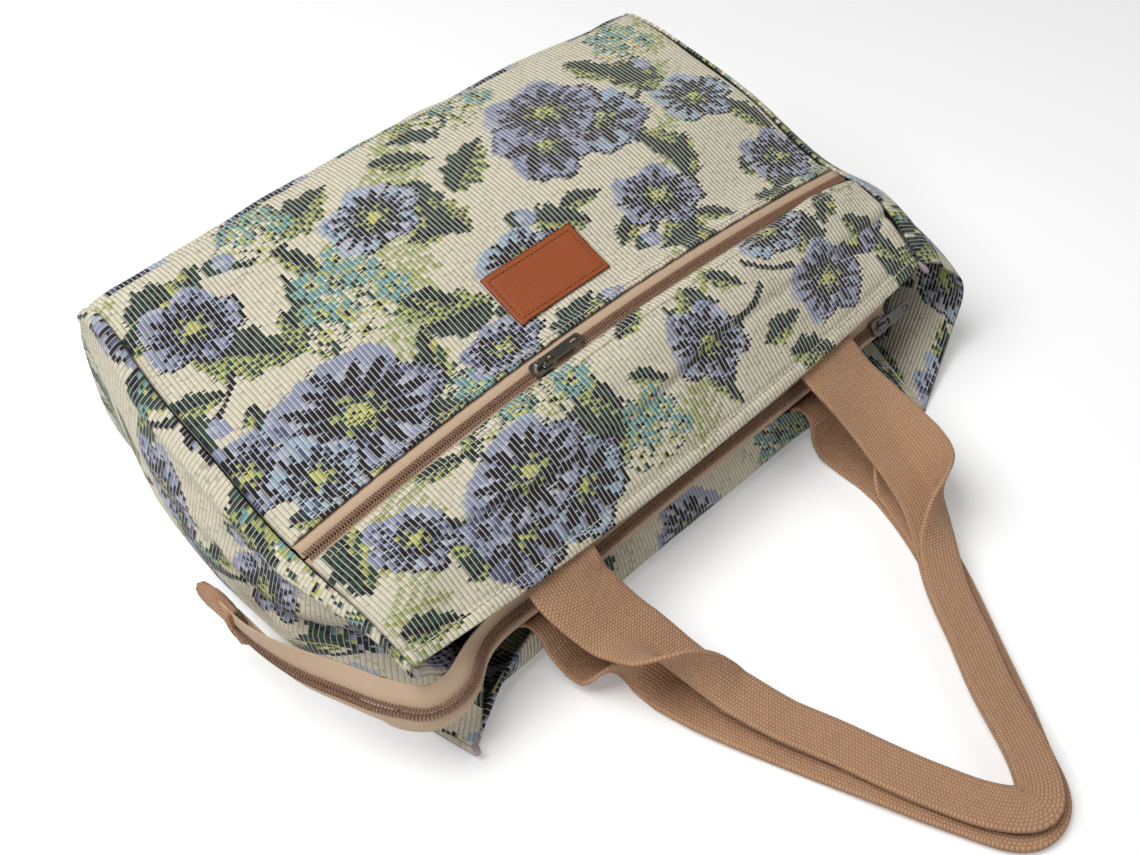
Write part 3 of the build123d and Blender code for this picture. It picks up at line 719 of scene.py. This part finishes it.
def upperRelief(u, place, points):
    x = u * bag["halfWidth"]
    mouth = place - place[0]
    crease = -1.6 * hump(mouth - 37 - 4 * np.sin(x / 37), 3.0) + 1.1 * hump(mouth - 43 - 4
            * np.sin(x / 37), 5.0)
    crease = crease * (0.45 + 0.55 * np.sin(x / 46 + 1.0) ** 2)
    rightFolds = 2.2 * hump(x - 150, 26) * np.sin(mouth / 9 + x / 21) * soft(mouth / 20)
    leftFolds = 2.6 * hump(x + 158, 22) * np.sin(mouth / 8 - x / 15) * soft(1 - mouth / 70)
    lip = 0.9 * hump(place + 9.5, 3.0) - 0.6 * soft((place + 7) / 2)
    hemRidge = 0.7 * hump(mouth - 3, 3) - 0.7 * hump(mouth - 7.4, 1.6)
    loose = ripples(x, place, 5, 62) * 1.3 + ripples(x, place, 6, 24) * 0.45
    return crease + rightFolds + leftFolds + lip + hemRidge + loose + seamRoll(u)


def frontRelief(u, place, points):
    x = u * bag["halfWidth"]
    lip = 0.9 * hump(place - 10.5, 3.5) - 0.5 * hump(place - 16, 1.8)
    pucker = 0.35 * np.sin(x / 2.6) * hump(place - 12, 5)
    loose = ripples(x, place, 8, 90) * 1.5 + ripples(x, place, 9, 30) * 0.4
    patch = -0.5 * hump(x + 2, 24) * hump(place - 41, 12)
    return lip + pucker + patch + loose * soft((place - 8) / 20) + seamRoll(u)


def baseRelief(u, place, points):
    x = u * bag["halfWidth"]
    loose = ripples(x, place, 12, 60) * 1.3 + ripples(x, place, 13, 22) * 0.4
    seam = -1.2 * hump(place - place[0] - 1, 2.2)
    return loose * soft(points[..., 2] / 15) + seam + seamRoll(u)


def backRelief(u, place, points):
    x = u * bag["halfWidth"]
    loose = ripples(x, place, 15, 80) * 1.4 + ripples(x, place, 16, 25) * 0.5
    lifted = soft(points[..., 2] / 12)
    return np.minimum(loose * lifted - 0.2 * (1 - lifted), points[..., 2] + 0.05) + seamRoll(u,
            deep=1.0) * lifted


upperU = np.linspace(-1, 1, 149)


dense, denseLength, denseKeys = throughPoints(outlineKeys(upperU))


def rowsBetween(start, end, count):
    # start and end are distances along each section, one per column
    rows, place = [], []
    for share in np.linspace(0, 1, count):
        at = start * (1 - share) + end * share
        rows.append(np.stack([pointsAt(at[i], denseLength[i], dense[i]) for i in range(len(at))]))
        place.append(at - denseKeys[:, zipLine])
    return np.array(rows), np.array(place)


def clothPiece(name, node, start, end, count, relief, layout, thick=1.5):
    points, place = rowsBetween(start, end, count)
    u = upperU[None, :] + 0 * place
    points = points + normals(points) * relief(u, place, points)[..., None]
    middle = (place[:-1, :-1] + place[1:, 1:]) / 2
    x = (upperU[:-1] + upperU[1:]) / 2 * bag["halfWidth"] + bag["halfWidth"]
    loom = Loom(np.broadcast_to(x, middle.shape), frontLength - middle)
    layout(loom)
    uv = np.stack([u * bag["halfWidth"], place], -1)
    made = grid(name, points, uv, tapestry, thick, loom.colours())
    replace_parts(made, node)
    return points, place


zipAt = denseKeys[:, zipLine]
upper, upperPlace = clothPiece("cloth_front_top", "front_top_panel", denseKeys[:, 0],
                               zipAt - pocket["lipEdge"], 92,
                               upperRelief, frontLayout)
front, frontPlace = clothPiece("cloth_front", "front_panel", zipAt + pocket["upperEdge"],
                               denseKeys[:, shoulder] + 4, 196,
                               frontRelief, frontLayout)
clothPiece("cloth_base", "base_panel", denseKeys[:, shoulder] + 4.2, denseKeys[:, foot + 2], 96,
                             baseRelief, lambda loom: loom.meadow(21))
clothPiece("cloth_back", "back_panel", denseKeys[:, foot + 2] + 0.2, denseKeys[:, backHem], 160,
                             backRelief, lambda loom: loom.meadow(22))
print("wrap")


# Side panels, sewn between the wrap's edges and free at the mouth
sides = {
    -1: {"mouth": [(-180, -105, 59), (-172, -107, 49), (-158, -108, 38), (-145, -108, 31),
                   (-148, -112, 22), (-158, -120, 9), (-168, -126, 0.3)],
         "fade": 0.36, "puff": 13.0},
    1: {"mouth": [(181, -105, 59), (193, -111, 52), (203, -118, 43), (204, -121, 33), (199, -123, 20),
                  (180, -130, 8), (145, -144, 0.3)],
        "fade": 0.5, "puff": 9.0},
}


def border(side, start, end, count):
    row = 0 if side < 0 else 2
    at = np.linspace(sideKeys[row, start], sideKeys[row, end], count)
    return pointsAt(at, sideLength[row], sideLine[row])


def sidePoints(side, columns, rows, inset=0.0):
    # from the mouth to the base across, from the front seam down to the back seam along
    top, low, end = border(side, 0, shoulder + 1, columns), border(side, backHem, foot, columns), \
        border(side, shoulder + 1, foot, rows)
    s = np.linspace(0, 1, columns)[None, :]
    t = np.linspace(0, 1, rows)[:, None]
    mouth = throughPoints(np.array([sides[side]["mouth"]], float))
    at = np.linspace(0, mouth[1][0, -1], rows)
    mouthLine = pointsAt(at, mouth[1][0], mouth[0][0])
    flatSheet = top[None] * (1 - t[..., None]) + low[None] * t[..., None]
    straight = top[0] * (1 - t) + low[0] * t
    closing = top[-1] * (1 - t) + low[-1] * t
    nearMouth = 1 - soft(s / sides[side]["fade"])
    nearBase = soft((s - 0.72) / 0.28)
    points = flatSheet + nearMouth[..., None] * (mouthLine - straight)[:, None] + nearBase[...,
            None] * (end - closing)[:, None]
    body = np.sin(pi * t) ** 0.62 * (1 - nearMouth * 0.9) * (1 - 0.75 * nearBase)
    roll = 4.6 * hump(t - 0.07, 0.055) * (1 - 0.5 * nearBase)
    fold = -3.6 * hump(t - 0.42 - 0.1 * s, 0.06) * np.sin(pi * np.clip(s * 1.2, 0, 1)) + 2.2 * hump(t
            - 0.3 - 0.08 * s, 0.09) * np.sin(pi * s)
    distance = s * 240
    height = t * 110
    loose = ripples(distance, height, 31 + side, 50) * 2.2 + ripples(distance, height, 41 + side,
            20) * 0.7
    away = sides[side]["puff"] * body + roll + fold * (1 - nearMouth) + loose * np.sin(pi
            * t) * np.sin(pi * np.clip(s + 0.08, 0, 1))
    points[..., 0] += side * away
    points[..., 0] -= side * inset
    points[..., 2] = np.maximum(points[..., 2], 0.15)
    return points


for side, name in ((-1, "left"), (1, "right")):
    points = sidePoints(side, 100, 84)
    uv = np.stack(np.meshgrid(np.arange(100) * 2.46, np.arange(84) * 1.42), -1)
    if side > 0:
        points, uv = points[::-1], uv[::-1]
    loom = Loom(uv[:-1, :-1, 0] + 1.2, uv[:-1, :-1, 1] + 0.7)
    loom.meadow(33 + side)
    made = grid("cloth_" + name, points, uv, tapestry, 1.5, loom.colours())
    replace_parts(made, "gusset_" + name)
    inner = sidePoints(side, 40, 26, 3.2)
    inner[:, :, 1] = np.clip(inner[:, :, 1], -300, 130)
    inner = inner[2:-2, 8:-1]
    inner[..., 2] = np.maximum(inner[..., 2], 2.6)
    flatUv = np.stack(np.meshgrid(np.arange(inner.shape[1]) * 6.0, np.arange(inner.shape[0]) * 4.6), -1)
    made = grid("lining_" + name, inner, flatUv, liningCloth, 0.5)
    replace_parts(made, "lining_" + name)
print("sides")


# Facings turned in round the mouth, the lining and the bag of the pocket
def layer(name, node, start, end, rows, depth, finish, thick, keep=0.93, slot="lining", cells=False):
    use = np.abs(upperU) <= keep
    points, place = rowsBetween(start, end, rows)
    out = normals(points)
    deep = depth(place - place[0]) if callable(depth) else depth
    points = (points - out * (deep + 0 * place)[..., None])[:, use]
    points[..., 2] = np.maximum(points[..., 2], 0.4)
    uv = np.stack([(upperU[use] * bag["halfWidth"])[None, :] + 0 * place[:, use], place[:, use]], -1)
    colours = None
    if cells:
        loom = Loom(uv[:-1, :-1, 0] + 182, uv[:-1, :-1, 1])
        loom.meadow(51)
        colours = loom.colours()
    made = grid(name, points, uv, finish, thick, colours)
    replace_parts(made, node)
    return points


mouthAt, hemAt = denseKeys[:, 0], denseKeys[:, backHem]
layer("facing_front_cloth", "facing_front", mouthAt + 0.4, mouthAt + 38, 27,
      lambda past: 1.9 + 3.2 * (1 - soft((past - 10) / 14)), tapestry, 1.0, 0.965, "tapestry", True)
layer("facing_back_cloth", "facing_back", hemAt - 38, hemAt - 0.4, 27, 1.9, tapestry, 1.0, 0.965,
      "tapestry", True)
layer("lining_front_cloth", "lining_front", zipAt - 13, denseKeys[:, shoulder] - 3, 30, 6.2, liningCloth,
      0.5)
layer("lining_back_cloth", "lining_back", denseKeys[:, foot + 2] + 3, hemAt - 42, 40, 2.4, liningCloth,
      0.5)
layer("pocket_outer_cloth", "pocket_bag_outer", zipAt + 10, zipAt + 110, 20, 3.6, liningCloth, 0.4, 0.87)
layer("pocket_inner_cloth", "pocket_bag_inner", zipAt - 13, zipAt + 110, 24,
      lambda past: 3.5 + 1.9 * soft((past - 3) / 5), liningCloth, 0.4, 0.87)
print("inside")


# Zips: tapes and nylon coils
def many(name, shape, faces, frames, finish, body="bag", slot=None):
    # one small shape repeated; frames are arrays of origin and three axes, in millimetres
    origin, first, second, third = frames
    points = origin[:, None] + shape[None, :, 0:1] * first[:, None] + shape[None, :, 1:2] * second[:,
            None] \
        + shape[None, :, 2:3] * third[:, None]
    count = len(shape)
    table = [[i * count + v for v in face] for i in range(len(origin)) for face in faces]
    mesh = bpy.data.meshes.new(name)
    mesh.from_pydata((points.reshape(-1, 3) * mm).tolist(), [], table)
    mesh.polygons.foreach_set("use_smooth", [True] * len(mesh.polygons))
    return piece(name, mesh, finish, body)


def bar(line, radius, sides=6, flat=1.0):
    # closed rounded bar along a short line, for stitches and zip teeth
    line = np.array(line, float)
    points, faces = [], []
    for i, centre in enumerate(line):
        run = line[min(i + 1, len(line) - 1)] - line[max(i - 1, 0)]
        run = run / np.linalg.norm(run)
        side = np.cross(run, (0, 0, 1.0))
        side = side / np.linalg.norm(side)
        over = np.cross(side, run)
        size = radius * (0.55 if i in (0, len(line) - 1) else 1.0)
        for k in range(sides):
            a = 2 * pi * k / sides
            points.append(centre + side * cos(a) * size * flat + over * sin(a) * size)
    for i in range(len(line) - 1):
        for k in range(sides):
            n = (k + 1) % sides
            faces.append([i * sides + k, i * sides + n, (i + 1) * sides + n, (i + 1) * sides + k])
    faces.append(list(range(sides))[::-1])
    faces.append([(len(line) - 1) * sides + k for k in range(sides)])
    return np.array(points), faces


tooth = {"pitch": 1.5, "radius": 0.42}
toothShape = bar([
    (0.62, -0.1, 0.35), (0.3, 0.15, 1.1), (0.1, 0.9, 1.5), (-0.1, 1.8, 1.45), (-0.35, 2.45, 0.95),
    (-0.5, 2.6, 0.3)],
                 tooth["radius"], 6)

# Pocket zip, in the plane of its bow
along = np.linspace(-pocketHalf + 0.6, pocketHalf - 0.6, 124)
for name, node, near, far, step in (("tape_upper", "pocket_tape_upper", 0.5, 13.5, 1),
                                    ("tape_lower", "pocket_tape_lower", -0.5, -13.5, -1)):
    across = np.linspace(near, far, 15)[:, None] + 0 * along[None]
    bow = -2.3 + (1.75 * hump(across - 5.6, 3.4) if step > 0 else 0 * across)
    points = pocketPoint(along[None] + 0 * across, across, bow)
    uv = np.stack([across, along[None] + 0 * across], -1)
    if step < 0:
        points, uv = points[::-1], uv[::-1]
    made = grid("pocket_" + name, points, uv, tapeCloth, 0.6)
    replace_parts(made, node)

count = int((2 * pocketHalf - 4) / tooth["pitch"])
for name, side in (("pocket_coil_upper", 1), ("pocket_coil_lower", -1)):
    place = -pocketHalf + 2 + tooth["pitch"] * (np.arange(count) + (0.25 if side > 0 else 0.75))
    angle = np.arcsin(place / pocketRadius)[:, None]
    out = pocketUp * np.cos(angle) + pocketAlong * np.sin(angle)
    run = pocketAlong * np.cos(angle) - pocketUp * np.sin(angle)
    origin = pocketPoint(place, 0 * place, np.full(count, -2.1))
    made = many("teeth_" + name, *toothShape, (origin, run,
                                               np.broadcast_to(pocketAcross * side, run.shape), out),
                                               coilNylon,
                slot="zip_coil")
    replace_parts(made, name)

# Mouth zip: straight between the hems, with a loose tail past the left seam
mouthZip = {"lean": 53.0, "step": 2.2, "front": 11.5, "back": 11.0}
route = np.array([[
    (156, -103.5, 35.5), (60, -103.5, 35.5), (-40, -103.5, 35.5), (-110, -103.5, 35.5),
    (-136, -104.5, 35.8), (-147, -109, 36.5), (-157, -115.5, 37), (-171, -118.5, 38),
    (-182, -115, 38.5), (-189, -107, 39), (-195, -97, 39.5), (-200, -84, 39.5), (-206, -68, 39.5),
    (-210, -50, 39), (-211.5, -30, 38), (-211.5, -14, 38)]], float)
chain, chainLength, chainKeys = throughPoints(route)
chainEnd = chainLength[0, -1]


def chainFrames(place):
    def at(spot):
        return pointsAt(spot, chainLength[0], chain[0])

    point = at(place)
    run = at(np.minimum(place + 1, chainEnd)) - at(np.maximum(place - 1, 0))
    run[:, 2] = 0
    run = unit(run)
    out = np.stack([-run[:, 1], run[:, 0], 0 * run[:, 0]], -1)
    # on the tail the chain sways a little and lies flatter
    tail = soft((place - 300) / 40)
    twist = soft((place - chainKeys[0, 9]) / 90)
    lean = np.radians(mouthZip["lean"] - 6 * tail + 5 * tail * np.sin(place / 17) + 50 * twist)[:, None]
    over = -out * np.cos(lean) + np.array([0, 0, 1.0]) * np.sin(lean)
    into = np.cross(run, over)
    return point, run, over, into


place = np.linspace(0, chainEnd, int(chainEnd / mouthZip["step"]))
point, run, over, into = chainFrames(place)
tail = soft((place - chainKeys[0, 4]) / 30)
end = soft((place - chainKeys[0, 9]) / 30)
for name, node, side, wide, bends in (("mouth_tape_front", "main_tape_front", 1, mouthZip["front"],
                                       (37, -18, -8)),
                                      ("mouth_tape_back", "main_tape_back", -1, mouthZip["back"],
                                       (-80, -52, -118))):
    steps = np.linspace(0, 1, 13)
    bend = (bends[0] * (1 - tail) + bends[1] * tail) * (1 - end) + bends[2] * end
    sway = np.sin(place / 11 + 1.2) * 5 * tail
    line = [point + over * side * 0.5]
    for k in range(1, len(steps)):
        share = soft((steps[k] * wide - 3.6) / 3.0)
        turn = np.radians((bend + sway) * share)[:, None]
        line.append(line[-1] + (over * side * np.cos(turn) - into * np.sin(turn)) * wide
                    / (len(steps) - 1))
    points = np.array(line)
    uv = np.stack([np.broadcast_to((steps * wide)[:, None], points.shape[:2]),
                   np.broadcast_to(place[None], points.shape[:2])], -1)
    if side < 0:
        points, uv = points[::-1], uv[::-1]
    made = grid(name, points, uv, tapeCloth, 0.6, offset=0.0)
    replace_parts(made, node)

count = int((chainEnd - 3) / tooth["pitch"])
for name, side in (("main_coil_front", 1), ("main_coil_back", -1)):
    spots = 2 + tooth["pitch"] * (np.arange(count) + (0.25 if side > 0 else 0.75))
    point, run, over, into = chainFrames(spots)
    made = many("teeth_" + name, *toothShape, (point - into * 0.2, run, over * side, -into), coilNylon,
                slot="zip_coil")
    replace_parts(made, name)
print("zips")


# Tab that closes the tail
def tube(name, rings, finish):
    rings = np.array(rings)
    rows, columns = rings.shape[:2]
    shape = bmesh.new()
    layer = shape.loops.layers.uv.new("UVMap")
    verts = [[shape.verts.new(Vector(p) * mm) for p in ring] for ring in rings]
    girth = np.linalg.norm(np.diff(rings[0], axis=0), axis=1).mean()
    step = np.linalg.norm(np.diff(rings.mean(1), axis=0), axis=1).mean()
    for i in range(rows - 1):
        for j in range(columns):
            k = (j + 1) % columns
            face = shape.faces.new((verts[i][j], verts[i][k], verts[i + 1][k], verts[i + 1][j]))
            face.smooth = True
            for loop, (row, column) in zip(face.loops, ((i, j), (i, j + 1), (i + 1, j + 1), (i + 1, j))):
                loop[layer].uv = (column * girth, row * step)
    shape.faces.new(verts[0][::-1])
    shape.faces.new(verts[-1])
    bmesh.ops.recalc_face_normals(shape, faces=shape.faces)
    mesh = bpy.data.meshes.new(name)
    shape.to_mesh(mesh)
    shape.free()
    return piece(name, mesh, finish, "bag")


tab = {"start": -9.0, "length": 28.0, "wide": 15.0, "thick": 4.2}
point, run, over, into = (value[0] for value in chainFrames(np.array([chainEnd])))
rings = []
for share in np.linspace(0, 1, 26):
    centre = point + run * (tab["start"] + tab["length"] * share) - over * 2.5 + into * (0.6 + 1.5
            * sin(share * 3))
    wide = tab["wide"] * (1 - 0.3 * share) * (1 - 0.12 * sin(share * 9)) * (1 if 0 < share < 1 else 0.9)
    thick = tab["thick"] * (1 - 0.25 * share) * (1 if 0 < share < 1 else 0.55)
    lumps = 1 + 0.05 * np.sin(np.arange(28) * 2.1 + share * 14)
    angle = np.linspace(0, 2 * pi, 28, endpoint=False)
    across = np.sign(np.cos(angle)) * np.abs(np.cos(angle)) ** 0.55 * wide * lumps
    deep = np.sign(np.sin(angle)) * np.abs(np.sin(angle)) ** 0.7 * thick * lumps
    rings.append(centre + across[:, None] * over + deep[:, None] * into)
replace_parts(tube("tail_tab", rings, webbingCloth), "zip_end_tab")


# Handles of webbing: flat at the hem, folded in half along the grip
strap = {"width": 40.0, "thick": 1.9, "fold": 3.4, "soft": 15.0}
upward, inward, halfway = (0, 0, 1), (0, 1, 0), (0, 1, 1)
frontPath = [
    (-95.5, -98, 53, upward, 1), (-95.5, -106, 49, upward, 1), (-95.5, -115, 43, upward, 1),
    (-94, -123, 38, upward, 1), (-91, -134, 31, upward, 6), (-86, -148, 25, upward, 30),
    (-80, -165, 19, upward, 95), (-72, -190, 13, upward, 165), (-64, -215, 9.5, upward, 176),
    (-56, -238, 8, upward, 176), (-50, -260, 7.5, upward, 176), (-42, -284, 7.5, upward, 176),
    (-33, -304, 8, upward, 176), (-21, -314, 8, upward, 176), (-9, -306, 8, upward, 176),
    (4, -287, 7.5, upward, 176), (18, -264, 7.5, upward, 176), (31, -246, 8, upward, 176),
    (45, -225, 8.5, upward, 176), (60, -208, 11, upward, 168), (75, -193, 15, upward, 125),
    (87, -176, 20, upward, 60), (94, -156, 26, upward, 18), (97, -138, 32, upward, 4),
    (97, -124, 38.5, upward, 1), (96.5, -116, 43, upward, 1), (96.5, -106, 49, upward, 1),
    (96.5, -98, 53, upward, 1)]
backPath = [
    (-96.5, -99, 19, inward, 1), (-96.5, -102.8, 22.6, inward, 1), (-96.5, -105.2, 25.2, halfway, 1),
    (-96.5, -110, 25.8, upward, 1), (-96.3, -115, 21.5, upward, 1), (-96, -119, 14, upward, 1),
    (-95, -123, 8, upward, 1), (-93, -130, 4, upward, 8), (-90, -141, 2.6, upward, 60),
    (-88, -153, 1.9, upward, 140), (-86, -165, 1.9, upward, 175), (-83, -180, 1.9, upward, 176),
    (-77, -200, 1.9, upward, 176), (-69, -222, 1.9, upward, 176), (-59, -250, 1.9, upward, 176),
    (-50, -275, 1.9, upward, 176), (-40, -300, 1.9, upward, 176), (-28, -317, 1.9, upward, 176),
    (-14, -316, 1.9, upward, 176), (-1, -301, 1.9, upward, 176), (12, -284, 1.9, upward, 176),
    (26, -264, 1.9, upward, 176), (40, -244, 1.9, upward, 176), (55, -222, 1.9, upward, 176),
    (68, -200, 1.9, upward, 176), (76, -183, 1.9, upward, 176), (82, -168, 1.9, upward, 172),
    (87, -154, 2, upward, 130), (91, -141, 2.8, upward, 60), (94, -132, 4, upward, 10),
    (95.5, -125, 8, upward, 1), (96, -121.5, 13.5, upward, 1), (96.3, -118, 21, upward, 1),
    (96.5, -112, 25.8, upward, 1), (96.5, -106.5, 25.4, halfway, 1), (96.5, -104, 22.6, inward, 1),
    (96.5, -100, 19, inward, 1)]


def strapSection(fold):
    # points across the webbing, inner edge first; the outer half folds over on top
    width = strap["width"]
    place = np.concatenate([np.linspace(-width / 2, -3, 11), np.linspace(-3, 3, 13)[1:-1],
                            np.linspace(3, width / 2, 11)])
    zone = strap["soft"] * (1 - fold / 180) + strap["fold"] * fold / 180
    fineWidth = np.linspace(-width / 2, width / 2, 400)
    heading = np.radians(180 - fold * soft(fineWidth / zone + 0.5))
    x = np.cumsum(np.cos(heading)) * width / 400
    y = np.cumsum(np.sin(heading)) * width / 400
    middle = np.argmin(np.abs(fineWidth))
    crease = -width / 4 * fold / 180
    x, y = x - x[middle] + crease, y - y[middle]
    y = y - y[:60].mean()
    return np.interp(place, fineWidth, x), np.interp(place, fineWidth, y), place


def handle(name, node, path, seed):
    keys = np.array([[p[:3] for p in path]], float)
    line, length, keyAt = throughPoints(keys)
    total = length[0, -1]
    place = np.linspace(0, total, int(total / 2.6))
    centre = pointsAt(place, length[0], line[0])
    hint = pointsAt(place, keyAt[0], np.array([p[3] for p in path], float))
    fold = np.interp(place, keyAt[0], [p[4] for p in path])
    run = np.gradient(centre, axis=0)
    run = unit(run)
    top = hint - run * (hint * run).sum(1, keepdims=True)
    top = unit(top)
    across = np.cross(top, run)
    rows, uv = [], []
    wave = ripples(place, 0 * place, seed, 60) * 0.9
    for i in range(len(place)):
        x, y, w = strapSection(float(np.clip(fold[i], 1, 177)))
        cup = 0.0011 * (w ** 2) * (1 - fold[i] / 180) * np.sin(place[i] / 23)
        rows.append(centre[i] + x[:, None] * across[i] + (y + cup + wave[i]
                * soft(min(i, len(place) - i) / 12))[:, None] * top[i])
        uv.append(np.stack([w, 0 * w + place[i]], -1))
    points = np.array(rows)
    points[..., 2] = np.maximum(points[..., 2], 1.0)
    made = grid(name, points, np.array(uv), webbingCloth, strap["thick"], offset=0.0)
    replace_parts(made, node)
    return points


handle("strap_front", "handle_front", frontPath, 61)
backStrap = handle("strap_back", "handle_back", backPath, 67)
print("handles")


# Leather patch
patch = {"wide": 59.0, "tall": 31.0, "middle": -2.0, "start": 24.5, "thick": 1.5}
px, py = np.linspace(-0.5, 0.5, 60), np.linspace(0, 1, 32)
columns = []
for x in patch["middle"] + px * patch["wide"]:
    i = np.argmin(np.abs(upperU * bag["halfWidth"] - x))
    at = zipAt[i] + patch["start"] + py * patch["tall"]
    point = pointsAt(at, denseLength[i], dense[i])
    point[:, 0] = x
    columns.append(point)
points = np.array(columns).transpose(1, 0, 2)
rim = np.minimum(np.minimum(px + 0.5, 0.5 - px)[None, :] * patch["wide"],
                 np.minimum(py, 1 - py)[:, None] * patch["tall"])
lift = 0.9 + 0.5 * soft(rim / 1.6) - 0.32 * hump(rim - 3.0, 0.8)
points = points + normals(points) * lift[..., None]
uv = np.stack(np.meshgrid((px + 0.5) * patch["wide"], py * patch["tall"]), -1)
leather = leatherFinish("leather", patch["wide"], patch["tall"])
made = grid("patch", points, uv, leather, patch["thick"])
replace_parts(made, "leather_patch")
patchPoints = points

# Stitches lie on the cloth they hold
stitchShape = bar([
    (-0.5, 0, -0.15), (-0.34, 0, 0.12), (0.34, 0, 0.12), (0.5, 0, -0.15)], 0.24, 6)


def stitches(name, line, out, finish, length=2.6, pitch=3.6, proud=0.35, size=1.0):
    line, out = np.asarray(line), np.asarray(out)
    far = np.concatenate([[0], np.cumsum(np.linalg.norm(np.diff(line, axis=0), axis=1))])
    spots = np.arange(pitch / 2, far[-1] - pitch / 2, pitch)

    def at(values, where):
        return pointsAt(where, far, values)

    origin, normal = at(line, spots), at(out, spots)
    normal = unit(normal)
    run = at(line, spots + 0.4) - at(line, spots - 0.4)
    run = unit(run)
    side = np.cross(normal, run)
    return many(name, *stitchShape, (origin + normal * proud, run * length, side * size, normal * size),
                finish)


upperOut, frontOut = normals(upper), normals(front)
hemRow = int(np.argmin(np.abs(upperPlace[:, 74] - upperPlace[0, 74] - 6.5)))
stitches("stitches_hem", upper[hemRow, 2:-2], upperOut[hemRow, 2:-2], paleThread)
seamRow = int(np.argmin(np.abs(frontPlace[:, 74] - frontPlace[0, 74] - 2.0)))
stitches("stitches_pocket", front[seamRow, 3:-3], frontOut[seamRow, 3:-3], paleThread, proud=0.2)
lipRow = int(np.argmin(np.abs(upperPlace[:, 74] - upperPlace[-1, 74] + 6.0)))
stitches("stitches_lip", upper[lipRow, 3:-3], upperOut[lipRow, 3:-3], paleThread, proud=0.2)
inset = 3
loop = np.concatenate([patchPoints[inset, inset:-inset], patchPoints[inset:-inset, -inset - 1],
                       patchPoints[-inset - 1, inset:-inset][::-1],
                       patchPoints[inset:-inset, inset][::-1]])
patchOut = normals(patchPoints)
loopOut = np.concatenate([patchOut[inset, inset:-inset], patchOut[inset:-inset, -inset - 1],
                          patchOut[-inset - 1, inset:-inset][::-1],
                          patchOut[inset:-inset, inset][::-1]])
patchThread = threadFinish("patch_thread", linear(170, 98, 56), linear(120, 66, 36))
stitches("stitches_patch", loop, loopOut, patchThread, 1.9, 2.7, 0.45, 1.1)
backOut = normals(backStrap)
for place in (0, 1):
    half = len(backStrap) // 2
    rows = slice(0, half) if place == 0 else slice(half, len(backStrap))
    row = int(np.argmin(np.abs(backStrap[rows, 16, 1] + 118))) + rows.start
    out = backOut[row, 1:-1]
    out = out * np.sign(out[:, 2:3].mean())
    stitches("stitches_root_" + "ab"[place], backStrap[row, 1:-1], out, paleThread, 1.9, 2.4, 1.15, 0.9)

# Binding of the inner seams shows at three corners of the mouth
spots = [
    ((-179.5, -104, 55.5), (2.0, -3.2, -2.2)), ((-166.5, -125, 3.2), (-1.6, -3.0, 1.6)),
    ((182, -104.5, 56), (1.5, -3.0, -2.5))]
for k, (origin, way) in enumerate(spots):
    way = np.array(way) / np.linalg.norm(way)
    shape, faces = bar([(-4.2, 0, 0), (-3, 0, 0), (0, 0, 0.3), (3, 0, 0), (4.2, 0, 0)], 1.7, 12)
    side = np.cross(way, (0, 0, 1.0))
    side = side / np.linalg.norm(side)
    frames = (np.array([origin]), way[None], side[None], np.cross(side, way)[None])
    many("binding_" + "abc"[k], shape, faces, frames, binding)
print("stitches")

# Metal parts keep their own shape
for node in ("pocket_slider", "pocket_pull", "main_slider", "main_pull"):
    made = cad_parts[node]
    made.data.materials.clear()
    made.data.materials.append(gunmetal)
